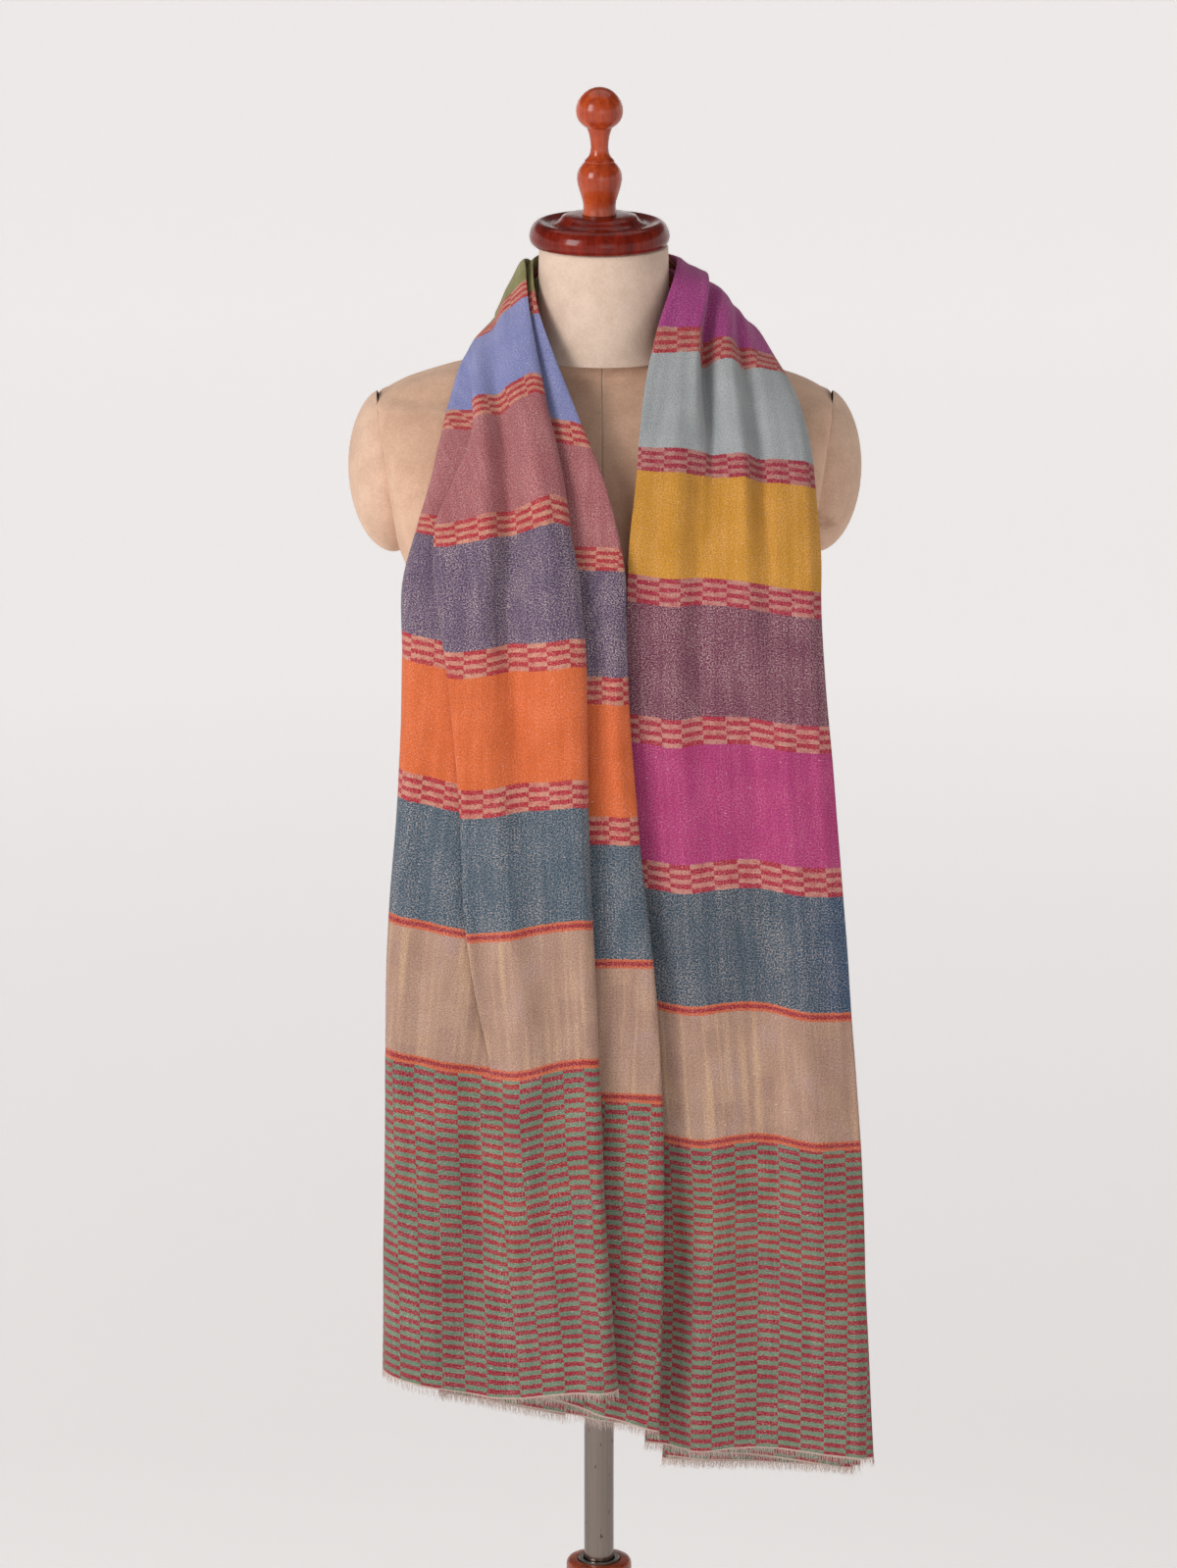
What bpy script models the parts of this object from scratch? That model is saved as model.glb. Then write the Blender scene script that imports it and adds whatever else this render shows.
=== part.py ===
"""A long pashmina shawl hung round the neck of a dress form, on the form's own pole and stand."""
import math

import bpy
import numpy as np
from mathutils import Matrix, Vector

# Heights are measured from the floor, +Z is up and the form's front looks along -Y.

# The form.
EYE = 1.000
TORSO_BOTTOM = 0.730
NECK_BOTTOM = 1.322
NECK_TOP = 1.3905

# The stand.
POLE_RADIUS = 0.0112
POLE_LOW = 0.140
SLEEVE_RADIUS = 0.0155
SLEEVE_BORE = 0.0121
SLEEVE_LENGTH = 0.060
FLANGE_RADIUS = 0.038
FLANGE_THICK = 0.004
COLLAR_TOP = 0.394
KNOB_HEIGHT = 0.372
SEAM = 0.0003

# The cloth.
WALL = 0.0013
FOLD_REACH = 0.0030
BACKING_HEIGHT = 0.0030
LOCK_LENGTH = 0.0065
LOCKS = 58

# Weft rows of the two halves, from the hem to the nape. Columns, in metres: the way along the
# cloth, then the outer and the inner end of the folded bundle (across, depth, height over EYE),
# the spacing of the layers and, on the right half, how far its pleats are shut (1) or open (0).
LEFT_ROWS = (
    (0.000, -0.1595, -0.138, -0.4140, 0.0440, -0.146, -0.453, 0.0036),
    (0.120, -0.1580, -0.142, -0.2940, 0.0465, -0.148, -0.331, 0.0036),
    (0.200, -0.1570, -0.144, -0.2150, 0.0470, -0.149, -0.246, 0.0036),
    (0.240, -0.1565, -0.145, -0.1760, 0.0460, -0.150, -0.205, 0.0036),
    (0.280, -0.1555, -0.145, -0.1355, 0.0440, -0.150, -0.164, 0.0036),
    (0.345, -0.1530, -0.145, -0.0695, 0.0390, -0.151, -0.098, 0.0036),
    (0.436, -0.1460, -0.145, 0.0240, 0.0290, -0.151, -0.005, 0.0036),
    (0.541, -0.1420, -0.143, 0.1270, 0.0210, -0.150, 0.098, 0.0036),
    (0.600, -0.1420, -0.139, 0.1820, 0.0190, -0.149, 0.154, 0.0036),
    (0.646, -0.1320, -0.131, 0.2220, 0.0175, -0.146, 0.197, 0.0036),
    (0.688, -0.1240, -0.113, 0.2520, 0.0100, -0.137, 0.234, 0.0034),
    (0.730, -0.1170, -0.090, 0.2840, -0.0020, -0.121, 0.271, 0.0032),
    (0.772, -0.1120, -0.062, 0.3080, -0.0180, -0.096, 0.304, 0.0030),
    (0.814, -0.1055, -0.038, 0.3250, -0.0340, -0.067, 0.336, 0.0029),
    (0.856, -0.0960, -0.015, 0.3340, -0.0480, -0.040, 0.365, 0.0029),
    (0.900, -0.0850, 0.012, 0.3370, -0.0540, -0.004, 0.386, 0.0029),
    (0.960, -0.0770, 0.057, 0.3220, -0.0480, 0.045, 0.391, 0.0030),
    (1.024, 0.0000, 0.086, 0.3030, 0.0000, 0.073, 0.391, 0.0030),
)
RIGHT_ROWS = (
    (0.000, 0.2010, -0.136, -0.4770, 0.0330, -0.126, -0.4720, 0.0036, 0.00),
    (0.120, 0.1950, -0.140, -0.3580, 0.0440, -0.128, -0.3540, 0.0036, 0.00),
    (0.245, 0.1900, -0.142, -0.2380, 0.0475, -0.130, -0.2370, 0.0036, 0.00),
    (0.345, 0.1820, -0.144, -0.1400, 0.0420, -0.132, -0.1350, 0.0036, 0.00),
    (0.436, 0.1750, -0.144, -0.0465, 0.0350, -0.134, -0.0435, 0.0036, 0.00),
    (0.541, 0.1660, -0.143, 0.0600, 0.0260, -0.136, 0.0660, 0.0036, 0.00),
    (0.600, 0.1610, -0.139, 0.1170, 0.0240, -0.137, 0.1260, 0.0036, 0.00),
    (0.646, 0.1585, -0.134, 0.1630, 0.0230, -0.137, 0.1750, 0.0036, 0.10),
    (0.688, 0.1585, -0.123, 0.2020, 0.0240, -0.134, 0.2180, 0.0035, 0.30),
    (0.730, 0.1560, -0.106, 0.2390, 0.0270, -0.124, 0.2560, 0.0034, 0.50),
    (0.772, 0.1520, -0.0845, 0.2735, 0.0300, -0.106, 0.2905, 0.0033, 0.70),
    (0.814, 0.1435, -0.0585, 0.3040, 0.0340, -0.080, 0.3225, 0.0032, 0.90),
    (0.856, 0.1310, -0.026, 0.3230, 0.0400, -0.050, 0.3520, 0.0031, 1.00),
    (0.900, 0.1190, 0.012, 0.3360, 0.0545, -0.010, 0.3860, 0.0030, 1.00),
    (0.960, 0.0960, 0.057, 0.3220, 0.0515, 0.043, 0.3910, 0.0030, 1.00),
    (1.024, 0.0000, 0.086, 0.3030, 0.0000, 0.073, 0.3910, 0.0030, 1.00),
)

# The folds met on one weft row, from the outer selvedge to the inner one. Columns: the fold's
# place across the bundle (0 outer, 1 inner) with the pleats shut and opened, then the layer
# that follows it (0 is the front one) shut and opened, and how far the fold is lifted.
LEFT_FOLDS = (
    ("selvedge", 0.16, 0.16, 6.0, 6.0, 0.006),
    ("rear_turn", 0.84, 0.84, 5.0, 5.0, 0.004),
    ("outer", 0.00, 0.00, 2.0, 0.6, 0.000),
    ("under_pleat", 0.40, 0.38, 1.0, 0.3, 0.000),
    ("pleat", 0.25, 0.47, 0.0, 0.0, 0.000),
    ("front", 0.82, 0.83, 1.0, 1.0, 0.000),
    ("tuck", 0.58, 0.56, 2.0, 2.0, 0.000),
    ("inner", 1.00, 1.00, 3.0, 3.0, 0.000),
    ("inner_turn", 0.20, 0.20, 4.0, 4.0, -0.006),
    ("inner_selvedge", 0.66, 0.66, 4.0, 4.0, -0.006),
)
RIGHT_FOLDS = (
    ("selvedge", 0.06, 0.06, 5.0, 5.0, -0.012),
    ("rear_turn", 0.92, 0.92, 4.0, 4.0, -0.014),
    ("outer", 0.00, 0.00, 0.0, 0.2, 0.000),
    ("ridge", 0.30, 0.24, 0.8, 0.5, 0.000),
    ("valley", 0.45, 0.42, 1.2, 0.2, 0.002),
    ("bend", 0.60, 0.60, 0.5, 0.5, 0.003),
    ("lip", 0.84, 0.80, 0.7, 0.9, 0.000),
    ("inner", 1.00, 1.00, 2.0, 2.0, 0.003),
    ("inner_turn", 0.09, 0.09, 3.0, 3.0, -0.010),
    ("inner_selvedge", 0.90, 0.90, 3.0, 3.0, -0.010),
)

# How the left half's pleat wanders. Columns: the way along the cloth, the place across the
# bundle of the front panel's outer fold and of its inner one, the lift in metres of those two
# folds and of the tuck behind them, and how far the pleat is shut (1) or opened out flat (0).
LEFT_PLEAT = (
    (0.000, 0.470, 0.850, 0.0040, 0.0330, 0.0080, 0.00),
    (0.080, 0.470, 0.815, 0.0020, 0.0290, 0.0010, 0.00),
    (0.180, 0.450, 0.785, 0.0000, 0.0260, -0.0070, 0.00),
    (0.235, 0.400, 0.780, -0.0020, 0.0255, -0.0100, 0.20),
    (0.270, 0.368, 0.780, -0.0025, 0.0265, -0.0120, 0.55),
    (0.310, 0.330, 0.780, -0.0025, 0.0275, -0.0130, 0.90),
    (0.365, 0.290, 0.785, -0.0025, 0.0280, -0.0140, 1.00),
    (0.436, 0.265, 0.798, -0.0040, 0.0262, -0.0143, 1.00),
    (0.500, 0.230, 0.815, -0.0052, 0.0262, -0.0140, 1.00),
    (0.560, 0.195, 0.820, -0.0075, 0.0285, -0.0130, 1.00),
    (0.600, 0.165, 0.795, -0.0092, 0.0270, -0.0125, 1.00),
    (0.640, 0.108, 0.755, -0.0105, 0.0255, -0.0120, 1.00),
    (0.665, 0.088, 0.757, -0.0100, 0.0295, -0.0115, 1.00),
    (0.700, 0.140, 0.768, 0.0000, 0.0385, -0.0100, 1.00),
    (0.740, 0.232, 0.800, 0.0112, 0.0440, 0.0000, 0.95),
    (0.765, 0.220, 0.835, 0.0120, 0.0410, 0.0040, 0.70),
    (0.790, 0.205, 0.870, 0.0080, 0.0370, 0.0060, 0.40),
    (0.830, 0.200, 0.900, 0.0040, 0.0250, 0.0060, 0.05),
    (0.865, 0.200, 0.900, 0.0010, 0.0130, 0.0030, 0.00),
    (0.900, 0.200, 0.880, 0.0000, 0.0030, 0.0010, 0.05),
    (0.940, 0.215, 0.830, 0.0000, 0.0000, 0.0000, 0.50),
    (0.980, 0.250, 0.820, 0.0000, 0.0000, 0.0000, 1.00),
    (1.024, 0.250, 0.820, 0.0000, 0.0000, 0.0000, 1.00),
)

# The mesh rows of a hanging half and of half the nape, by the way along the cloth.
HANG_STEPS = (
    0.000, 0.070, 0.140, 0.200, 0.240, 0.260, 0.280, 0.345, 0.415, 0.480, 0.541,
    0.600, 0.640, 0.675, 0.708, 0.740, 0.772, 0.802, 0.832, 0.860, 0.885,
)
NAPE_STEPS = (0.885, 0.920, 0.955, 0.990, 1.008, 1.024)

# The form's body from hem to neck. Columns: height over EYE, half width, depth to the front,
# depth to the back, squareness of the outline.
TORSO_ROWS = (
    (-0.270, 0.136, 0.092, 0.098, 2.2),
    (-0.255, 0.141, 0.097, 0.105, 2.2),
    (-0.175, 0.144, 0.100, 0.112, 2.2),
    (-0.100, 0.138, 0.094, 0.106, 2.2),
    (-0.035, 0.121, 0.086, 0.088, 2.2),
    (0.020, 0.114, 0.084, 0.078, 2.2),
    (0.070, 0.120, 0.092, 0.080, 2.2),
    (0.120, 0.1300, 0.108, 0.088, 2.3),
    (0.155, 0.1390, 0.117, 0.094, 2.4),
    (0.185, 0.1487, 0.1187, 0.097, 2.5),
    (0.215, 0.1532, 0.110, 0.098, 2.5),
    (0.242, 0.1573, 0.097, 0.096, 2.5),
    (0.265, 0.1608, 0.082, 0.089, 2.4),
    (0.283, 0.1634, 0.0673, 0.078, 2.3),
    (0.294, 0.1600, 0.056, 0.066, 2.2),
    (0.3020, 0.1460, 0.048, 0.056, 2.2),
    (0.3095, 0.1240, 0.0425, 0.050, 2.2),
    (0.3155, 0.0980, 0.0415, 0.0480, 2.1),
    (0.3198, 0.0720, 0.0435, 0.0475, 2.0),
    (0.3222, 0.0580, 0.0450, 0.0470, 2.0),
)
TORSO_SHIFT = 0.0040
TORSO_SIDES = 32
PLATE_CENTRE = 0.236
PLATE_HEIGHT = 0.059
PLATE_DEPTH = 0.046
PLATE_DOME = 0.0295

CAP_PROFILE = (
    (0.0000, 1.4150), (0.0180, 1.4150), (0.0262, 1.4140), (0.0285, 1.4118), (0.0330, 1.4092),
    (0.0385, 1.4098), (0.0430, 1.4122), (0.0475, 1.4130), (0.0503, 1.4100), (0.0510, 1.4050),
    (0.0500, 1.3990), (0.0480, 1.3935), (0.0455, 1.3908), (0.0000, 1.3908),
)
FINIAL_PROFILE = (
    (0.0000, 1.5170), (0.0065, 1.5157), (0.0120, 1.5120), (0.0157, 1.5065), (0.0170, 1.5000),
    (0.0157, 1.4935), (0.0120, 1.4880), (0.0083, 1.4850), (0.0065, 1.4790), (0.0062, 1.4720),
    (0.0075, 1.4660), (0.0101, 1.4632), (0.0101, 1.4590), (0.0128, 1.4560), (0.0158, 1.4515),
    (0.0163, 1.4460), (0.0145, 1.4370), (0.0115, 1.4270), (0.0118, 1.4215), (0.0135, 1.4185),
    (0.0135, 1.4153), (0.0000, 1.4153),
)
BASE_PROFILE = (
    (0.0000, 0.0600), (0.0160, 0.0600), (0.0160, 0.3940), (0.0225, 0.3940), (0.0245, 0.3915),
    (0.0245, 0.3700), (0.0235, 0.3660), (0.0255, 0.3620), (0.0265, 0.2500), (0.0290, 0.1400),
    (0.0340, 0.0900), (0.0460, 0.0560), (0.0640, 0.0420), (0.0860, 0.0360), (0.1700, 0.0300),
    (0.1860, 0.0260), (0.1900, 0.0190), (0.1900, 0.0050), (0.1870, 0.0000), (0.0000, 0.0000),
)


def clear_scene():
    for item in list(bpy.data.objects):
        bpy.data.objects.remove(item, do_unlink=True)
    for group in list(bpy.data.collections):
        bpy.data.collections.remove(group)


def make_material(name, colour, roughness, metallic=0.0):
    material = bpy.data.materials.new(name)
    material.use_nodes = True
    shader = material.node_tree.nodes["Principled BSDF"]
    shader.inputs["Base Color"].default_value = (*colour, 1.0)
    shader.inputs["Roughness"].default_value = roughness
    shader.inputs["Metallic"].default_value = metallic
    material.diffuse_color = (*colour, 1.0)
    return material


def ease(value):
    value = min(max(value, 0.0), 1.0)
    return value * value * (3.0 - 2.0 * value)


def glide(places, values, at):
    """Values on a smooth curve through the ones that are given at some places."""
    slopes = np.gradient(values, places)
    index = np.clip(np.searchsorted(places, at, side="right") - 1, 0, len(places) - 2)
    span = places[index + 1] - places[index]
    part = (at - places[index]) / span
    two, three = part * part, part * part * part
    return (
        (2.0 * three - 3.0 * two + 1.0) * values[index]
        + (three - 2.0 * two + part) * span * slopes[index]
        + (3.0 * two - 2.0 * three) * values[index + 1]
        + (three - two) * span * slopes[index + 1]
    )


def row_at(rows, along):
    """A table's row at a way along the cloth, on a smooth curve through the given rows."""
    table = np.array(rows)
    places = table[:, 0]
    slopes = np.gradient(table, places, axis=0)
    slopes[-1, (2, 3, 5, 6, 7)] = 0.0
    index = int(np.clip(np.searchsorted(places, along) - 1, 0, len(places) - 2))
    span = places[index + 1] - places[index]
    part = (along - places[index]) / span
    if part < 0.0:
        return table[0] + slopes[0] * (along - places[0])
    two, three = part * part, part * part * part
    return (
        (2.0 * three - 3.0 * two + 1.0) * table[index]
        + (three - 2.0 * two + part) * span * slopes[index]
        + (3.0 * two - 2.0 * three) * table[index + 1]
        + (three - two) * span * slopes[index + 1]
    )


def fold_values(folds, shut):
    """Place, layer and lift of every fold, a pleat sliding open before its layers meet."""
    values = np.array([row[1:] for row in folds])
    opened = 1.0 - min(max(shut, 0.0), 1.0)
    sunk = ease((opened - 0.65) / 0.35)
    place = values[:, 0] + (values[:, 1] - values[:, 0]) * opened
    layer = values[:, 2] + (values[:, 3] - values[:, 2]) * sunk
    return place, layer, values[:, 4]


def bundle(side, along):
    """Folds of the bundle on one half, the left folds passing over to the right at the nape."""
    round_neck = 0.5 * max(along - NAPE_STEPS[0], 0.0) / (NAPE_STEPS[-1] - NAPE_STEPS[0])
    fade = ease((0.80 - along) / 0.20)
    if side < 0:
        table = np.array(LEFT_PLEAT)
        pleat, front, pleat_lift, front_lift, tuck_lift, shut = (
            float(glide(table[:, 0], table[:, column], max(along, 0.0))) for column in range(1, 7))
        shut = min(max(shut, 0.0), 1.0)
        place, layer, lift = fold_values(LEFT_FOLDS, shut)
        place[3:6] = pleat - 0.09 + 0.24 * shut, pleat, front
        lift = lift * fade
        lift[4:7] = pleat_lift, front_lift, tuck_lift
        far_place, far_layer, _ = fold_values(RIGHT_FOLDS, 1.0)
    else:
        round_neck = 1.0 - round_neck
        place, layer, _ = fold_values(LEFT_FOLDS, 1.0)
        far_place, far_layer, lift = fold_values(
            RIGHT_FOLDS, float(row_at(RIGHT_ROWS, along)[8]))
        lift = lift * fade
    slide = min(max((round_neck - 0.25) / 0.5, 0.0), 1.0)
    sink = ease((round_neck - 0.5) / 0.5)
    place = place + (far_place - place) * slide
    layer = layer + (far_layer - layer) * sink
    return place, layer, lift


def half_path(side):
    """The bundle's outer end, way across, face, width and layer spacing at steps along a half."""
    rows = LEFT_ROWS if side < 0 else RIGHT_ROWS
    steps = np.arange(-0.030, NAPE_STEPS[-1] + 0.0005, 0.002)
    frames = []
    for along in steps:
        row = row_at(rows, along)
        ahead = row_at(rows, along + 0.004) if along < 1.020 else row
        behind = row_at(rows, along - 0.004)
        travel = (ahead[1:4] + ahead[4:7]) - (behind[1:4] + behind[4:7])
        across = row[4:7] - row[1:4]
        width = np.linalg.norm(across)
        face = np.cross(across, travel) * (-side)
        frames.append(np.concatenate((
            row[1:4], across / width, face / np.linalg.norm(face), (width, row[7]))))
    return steps, np.array(frames)


PATHS = {side: half_path(side) for side in (-1, 1)}


def frame_at(side, ways):
    """Interpolated frames of one half at an array of ways along the cloth."""
    steps, frames = PATHS[side]
    found = np.stack([np.interp(ways, steps, column) for column in frames.T], axis=1)
    return found[:, 0:3], found[:, 3:6], found[:, 6:9], found[:, 9], found[:, 10]


def section(side, along):
    """Middle line of the folded cloth on one weft row, as points with their normals."""
    _, _, _, (width,), (gap,) = frame_at(side, (along,))
    place, layer, lift = bundle(side, along)
    spot = place * width
    depth = layer * gap
    flat = [(spot[0], depth[0], lift[0])]
    count = len(spot)
    for index in range(1, count - 1):
        before = float(np.clip((spot[index] - spot[index - 1]) / 0.012, -1.0, 1.0))
        after = float(np.clip((spot[index + 1] - spot[index]) / 0.012, -1.0, 1.0))
        rise = depth[index] - depth[index - 1]
        reach = max(FOLD_REACH, 0.5 * abs(rise))
        enter = depth[index - 1] + 0.3 * (1.0 - abs(before)) * rise
        leave = depth[index] - 0.3 * (1.0 - abs(after)) * rise
        start, end = flat[-1], (spot[index] - before * reach, enter, lift[index])
        for part in (1.0 / 3.0, 2.0 / 3.0):
            flat.append(tuple(a + (b - a) * part for a, b in zip(start, end)))
        flat.append(end)
        flat.append((spot[index], 0.5 * (depth[index - 1] + depth[index]), lift[index]))
        flat.append((spot[index] + after * reach, leave, lift[index]))
    start, end = flat[-1], (spot[-1], depth[-2], lift[-1])
    for part in (1.0 / 3.0, 2.0 / 3.0):
        flat.append(tuple(a + (b - a) * part for a, b in zip(start, end)))
    flat.append(end)
    flat = np.array(flat)
    outer, across, face, widths, _ = frame_at(side, along + flat[:, 2])
    points = outer + across * (flat[:, 0] / width * widths)[:, None] - face * flat[:, 1][:, None]
    step = np.gradient(flat[:, :2], axis=0)
    step = step / np.linalg.norm(step, axis=1)[:, None]
    normals = across * step[:, 1][:, None] + face * step[:, 0][:, None]
    return points, normals, np.diff(flat[:, 0]) >= 0.0


def walls(points, normals):
    """A closed loop round the cloth's wall: out along the front, back along the rear."""
    front = lifted(points + normals * WALL * 0.5)
    back = lifted(points - normals * WALL * 0.5)
    return np.vstack((front, back[::-1]))


def new_mesh_object(name, verts, faces, material, group):
    mesh = bpy.data.meshes.new(name)
    mesh.from_pydata([tuple(v) for v in verts], [], faces)
    mesh.materials.append(material)
    mesh.polygons.foreach_set("use_smooth", [True] * len(mesh.polygons))
    mesh.update()
    mesh.set_sharp_from_angle(angle=math.radians(50.0))
    item = bpy.data.objects.new(name, mesh)
    group.objects.link(item)
    return item


def axis_empty(name, place, group):
    """A marker on a joint's axis, which carries the pieces that move with it."""
    marker = bpy.data.objects.new(name, None)
    marker.location = place
    marker.empty_display_size = 0.05
    group.objects.link(marker)
    return marker


def carry(marker, place, items):
    """Hang pieces that were made in the world's frame on a marker that stands at a place."""
    for item in items:
        item.parent = marker
        item.matrix_parent_inverse = Matrix.Translation(-Vector(place))


def signed_volume(verts, faces):
    total = 0.0
    for face in faces:
        first = verts[face[0]]
        for index in range(1, len(face) - 1):
            total += np.dot(first, np.cross(verts[face[index]], verts[face[index + 1]]))
    return total / 6.0


def lifted(points):
    return points + np.array((0.0, 0.0, EYE))


def loft(name, loops, material, group):
    """A closed body through equal loops, its two ends capped flat."""
    size = len(loops[0])
    verts = np.vstack(loops)
    faces = []
    for level in range(len(loops) - 1):
        low, high = level * size, (level + 1) * size
        for index in range(size):
            after = (index + 1) % size
            faces.append((low + index, low + after, high + after, high + index))
    top = (len(loops) - 1) * size
    faces.append(tuple(range(size - 1, -1, -1)))
    faces.append(tuple(range(top, top + size)))
    if signed_volume(verts, faces) < 0.0:
        faces = [tuple(reversed(face)) for face in faces]
    return new_mesh_object(name, verts, faces, material, group)


def cloth(name, stations, material, group):
    """The folded cloth's wall through its weft rows, every layer cut along the same slant."""
    loops = []
    slants = []
    for side, along in stations:
        points, normals, inward = section(side, along)
        loops.append(walls(points, normals))
        slants.append(inward)
    size = len(loops[0])
    last = size - 1
    verts = np.vstack(loops)
    faces = []
    for level in range(len(loops) - 1):
        low, high = level * size, (level + 1) * size
        for index in range(size):
            after = (index + 1) % size
            if index < size // 2 - 1:
                rising = slants[level][index]
            elif size // 2 <= index < last:
                rising = not slants[level][last - index - 1]
            else:
                rising = True
            if rising:
                faces.append((low + index, low + after, high + after))
                faces.append((low + index, high + after, high + index))
            else:
                faces.append((low + index, low + after, high + index))
                faces.append((low + after, high + after, high + index))
    top = (len(loops) - 1) * size
    for index in range(size // 2 - 1):
        other = last - index
        faces.append((index + 1, index, other, other - 1))
        faces.append((top + index, top + index + 1, top + other - 1, top + other))
    if signed_volume(verts, faces) < 0.0:
        faces = [tuple(reversed(face)) for face in faces]
    return new_mesh_object(name, verts, faces, material, group)


def hanging_half(name, side, material, group):
    stations = [(side, along) for along in HANG_STEPS]
    stations[-1] = (side, HANG_STEPS[-1] - SEAM * 0.5)
    return cloth(name, stations, material, group)


def nape(name, material, group):
    stations = [(-1, along) for along in NAPE_STEPS]
    stations += [(1, along) for along in NAPE_STEPS[-2::-1]]
    stations[0] = (-1, NAPE_STEPS[0] + SEAM * 0.5)
    stations[-1] = (1, NAPE_STEPS[0] + SEAM * 0.5)
    return cloth(name, stations, material, group)


def divided(points, shares):
    """Points along a line of points, each stretch of it cut in its own number of shares."""
    fine = [points[0]]
    for start, end, share in zip(points[:-1], points[1:], shares):
        for part in range(1, share + 1):
            fine.append(start + (end - start) * (part / share))
    return np.array(fine)


def fringe(name, side, material, group):
    """A narrow backing along the hem with a row of tapering locks grown out of it."""
    edge, normals, _ = section(side, -SEAM)
    lengths = np.linalg.norm(np.diff(edge, axis=0), axis=1)
    pitch = lengths.sum() / (2.0 * LOCKS)
    shares = [max(1, int(round(length / pitch))) for length in lengths]
    front = divided(lifted(edge + normals * WALL * 0.5), shares)
    back = divided(lifted(edge - normals * WALL * 0.5), shares)
    count = len(front)
    down = np.array((0.0, 0.0, -1.0))
    low_back = back + down * BACKING_HEIGHT
    low_front = front + down * BACKING_HEIGHT
    verts = list(np.vstack((front, back, low_back, low_front)))
    faces = []
    for index in range(count - 1):
        for ring in range(4):
            if ring == 2 and index % 2 == 0:
                continue
            low, high = ring * count + index, ((ring + 1) % 4) * count + index
            faces.append((low, low + 1, high + 1, high))
    faces.append(tuple(ring * count for ring in range(4)))
    faces.append(tuple(ring * count + count - 1 for ring in (3, 2, 1, 0)))
    for index in range(0, count - 1, 2):
        low, high = 2 * count + index, 3 * count + index
        root = (low, low + 1, high + 1, high)
        centre = sum(verts[corner] for corner in root) * 0.25
        first = len(verts)
        for corner in root:
            verts.append(centre + (verts[corner] - centre) * 0.62 + down * LOCK_LENGTH)
        for ring in range(4):
            after = (ring + 1) % 4
            faces.append((root[ring], root[after], first + after, first + ring))
        faces.append((first, first + 1, first + 2, first + 3))
    verts = np.array(verts)
    if signed_volume(verts, faces) < 0.0:
        faces = [tuple(reversed(face)) for face in faces]
    return new_mesh_object(name, verts, faces, material, group)


def turned(name, profile, steps, material, group, offset=(0.0, 0.0, 0.0)):
    """A body turned round the upright axis from its profile."""
    mesh = bpy.data.meshes.new(name)
    verts = [(radius, 0.0, height - offset[2]) for radius, height in profile]
    edges = [(index, index + 1) for index in range(len(verts) - 1)]
    mesh.from_pydata(verts, edges, [])
    mesh.materials.append(material)
    item = bpy.data.objects.new(name, mesh)
    group.objects.link(item)
    item.location = offset
    screw = item.modifiers.new("turning", "SCREW")
    screw.axis = "Z"
    screw.angle = 2.0 * math.pi
    screw.steps = steps
    screw.render_steps = steps
    screw.use_merge_vertices = True
    screw.merge_threshold = 0.00005
    screw.use_smooth_shade = True
    return item


def torso_loop(row, sides):
    """One level of the form's body: flat against the armhole plates, rounded to front and back."""
    height, half, front, back, square = row
    rim = 1.0 - ((height - PLATE_CENTRE) / PLATE_HEIGHT) ** 2
    flat = max(PLATE_DEPTH * math.sqrt(max(rim, 0.0)), 0.006)
    loop = []
    for index in range(sides):
        quarter, part = divmod(4.0 * index / sides, 1.0)
        if quarter in (1.0, 3.0):
            part = 1.0 - part
        depth = back if quarter < 2.0 else front
        if part < 0.25:
            x, y = half, flat * part / 0.25
        else:
            turn = 0.5 * math.pi * (part - 0.25) / 0.75
            x = half * max(math.cos(turn), 0.0) ** (2.0 / square)
            y = flat + (depth - flat) * math.sin(turn) ** (2.0 / square)
        x = x if quarter in (0.0, 3.0) else -x
        y = y if quarter < 2.0 else -y
        loop.append((TORSO_SHIFT + x, y, EYE + height))
    return np.array(loop)


def torso(name, material, group):
    return loft(name, [torso_loop(row, TORSO_SIDES) for row in TORSO_ROWS], material, group)


def neck(name, material, group):
    loops = []
    for part in (0.0, 0.12, 0.55, 1.0):
        half = 0.0478 - 0.0010 * part
        depth = 0.0500 - 0.0040 * part
        height = NECK_BOTTOM + 0.0005 + (NECK_TOP - NECK_BOTTOM - 0.0005) * part
        loop = []
        for index in range(32):
            turn = 2.0 * math.pi * index / 32.0
            loop.append((
                0.0030 + half * math.cos(turn), 0.002 + depth * math.sin(turn), height,
            ))
        loops.append(np.array(loop))
    return loft(name, loops, material, group)


def shoulder_plate(name, side, material, group):
    """The domed plate that closes one armhole."""
    lean = Matrix.Rotation(side * math.radians(8.5), 3, "Y")
    centre = Vector((TORSO_SHIFT + side * (0.1570 + SEAM), 0.0, EYE + PLATE_CENTRE))
    loops = []
    for turn in (0.0, 0.42, 0.80, 1.15, 1.42):
        out = PLATE_DOME * math.sin(turn) ** 1.1
        loop = []
        for index in range(24):
            angle = 2.0 * math.pi * index / 24.0
            point = Vector((
                side * out, PLATE_DEPTH * math.cos(turn) * math.cos(angle),
                PLATE_HEIGHT * math.cos(turn) * math.sin(angle) - 0.0085 * math.sin(turn),
            ))
            loop.append(tuple(centre + lean @ point))
        loops.append(np.array(loop))
    return loft(name, loops, material, group)


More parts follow.
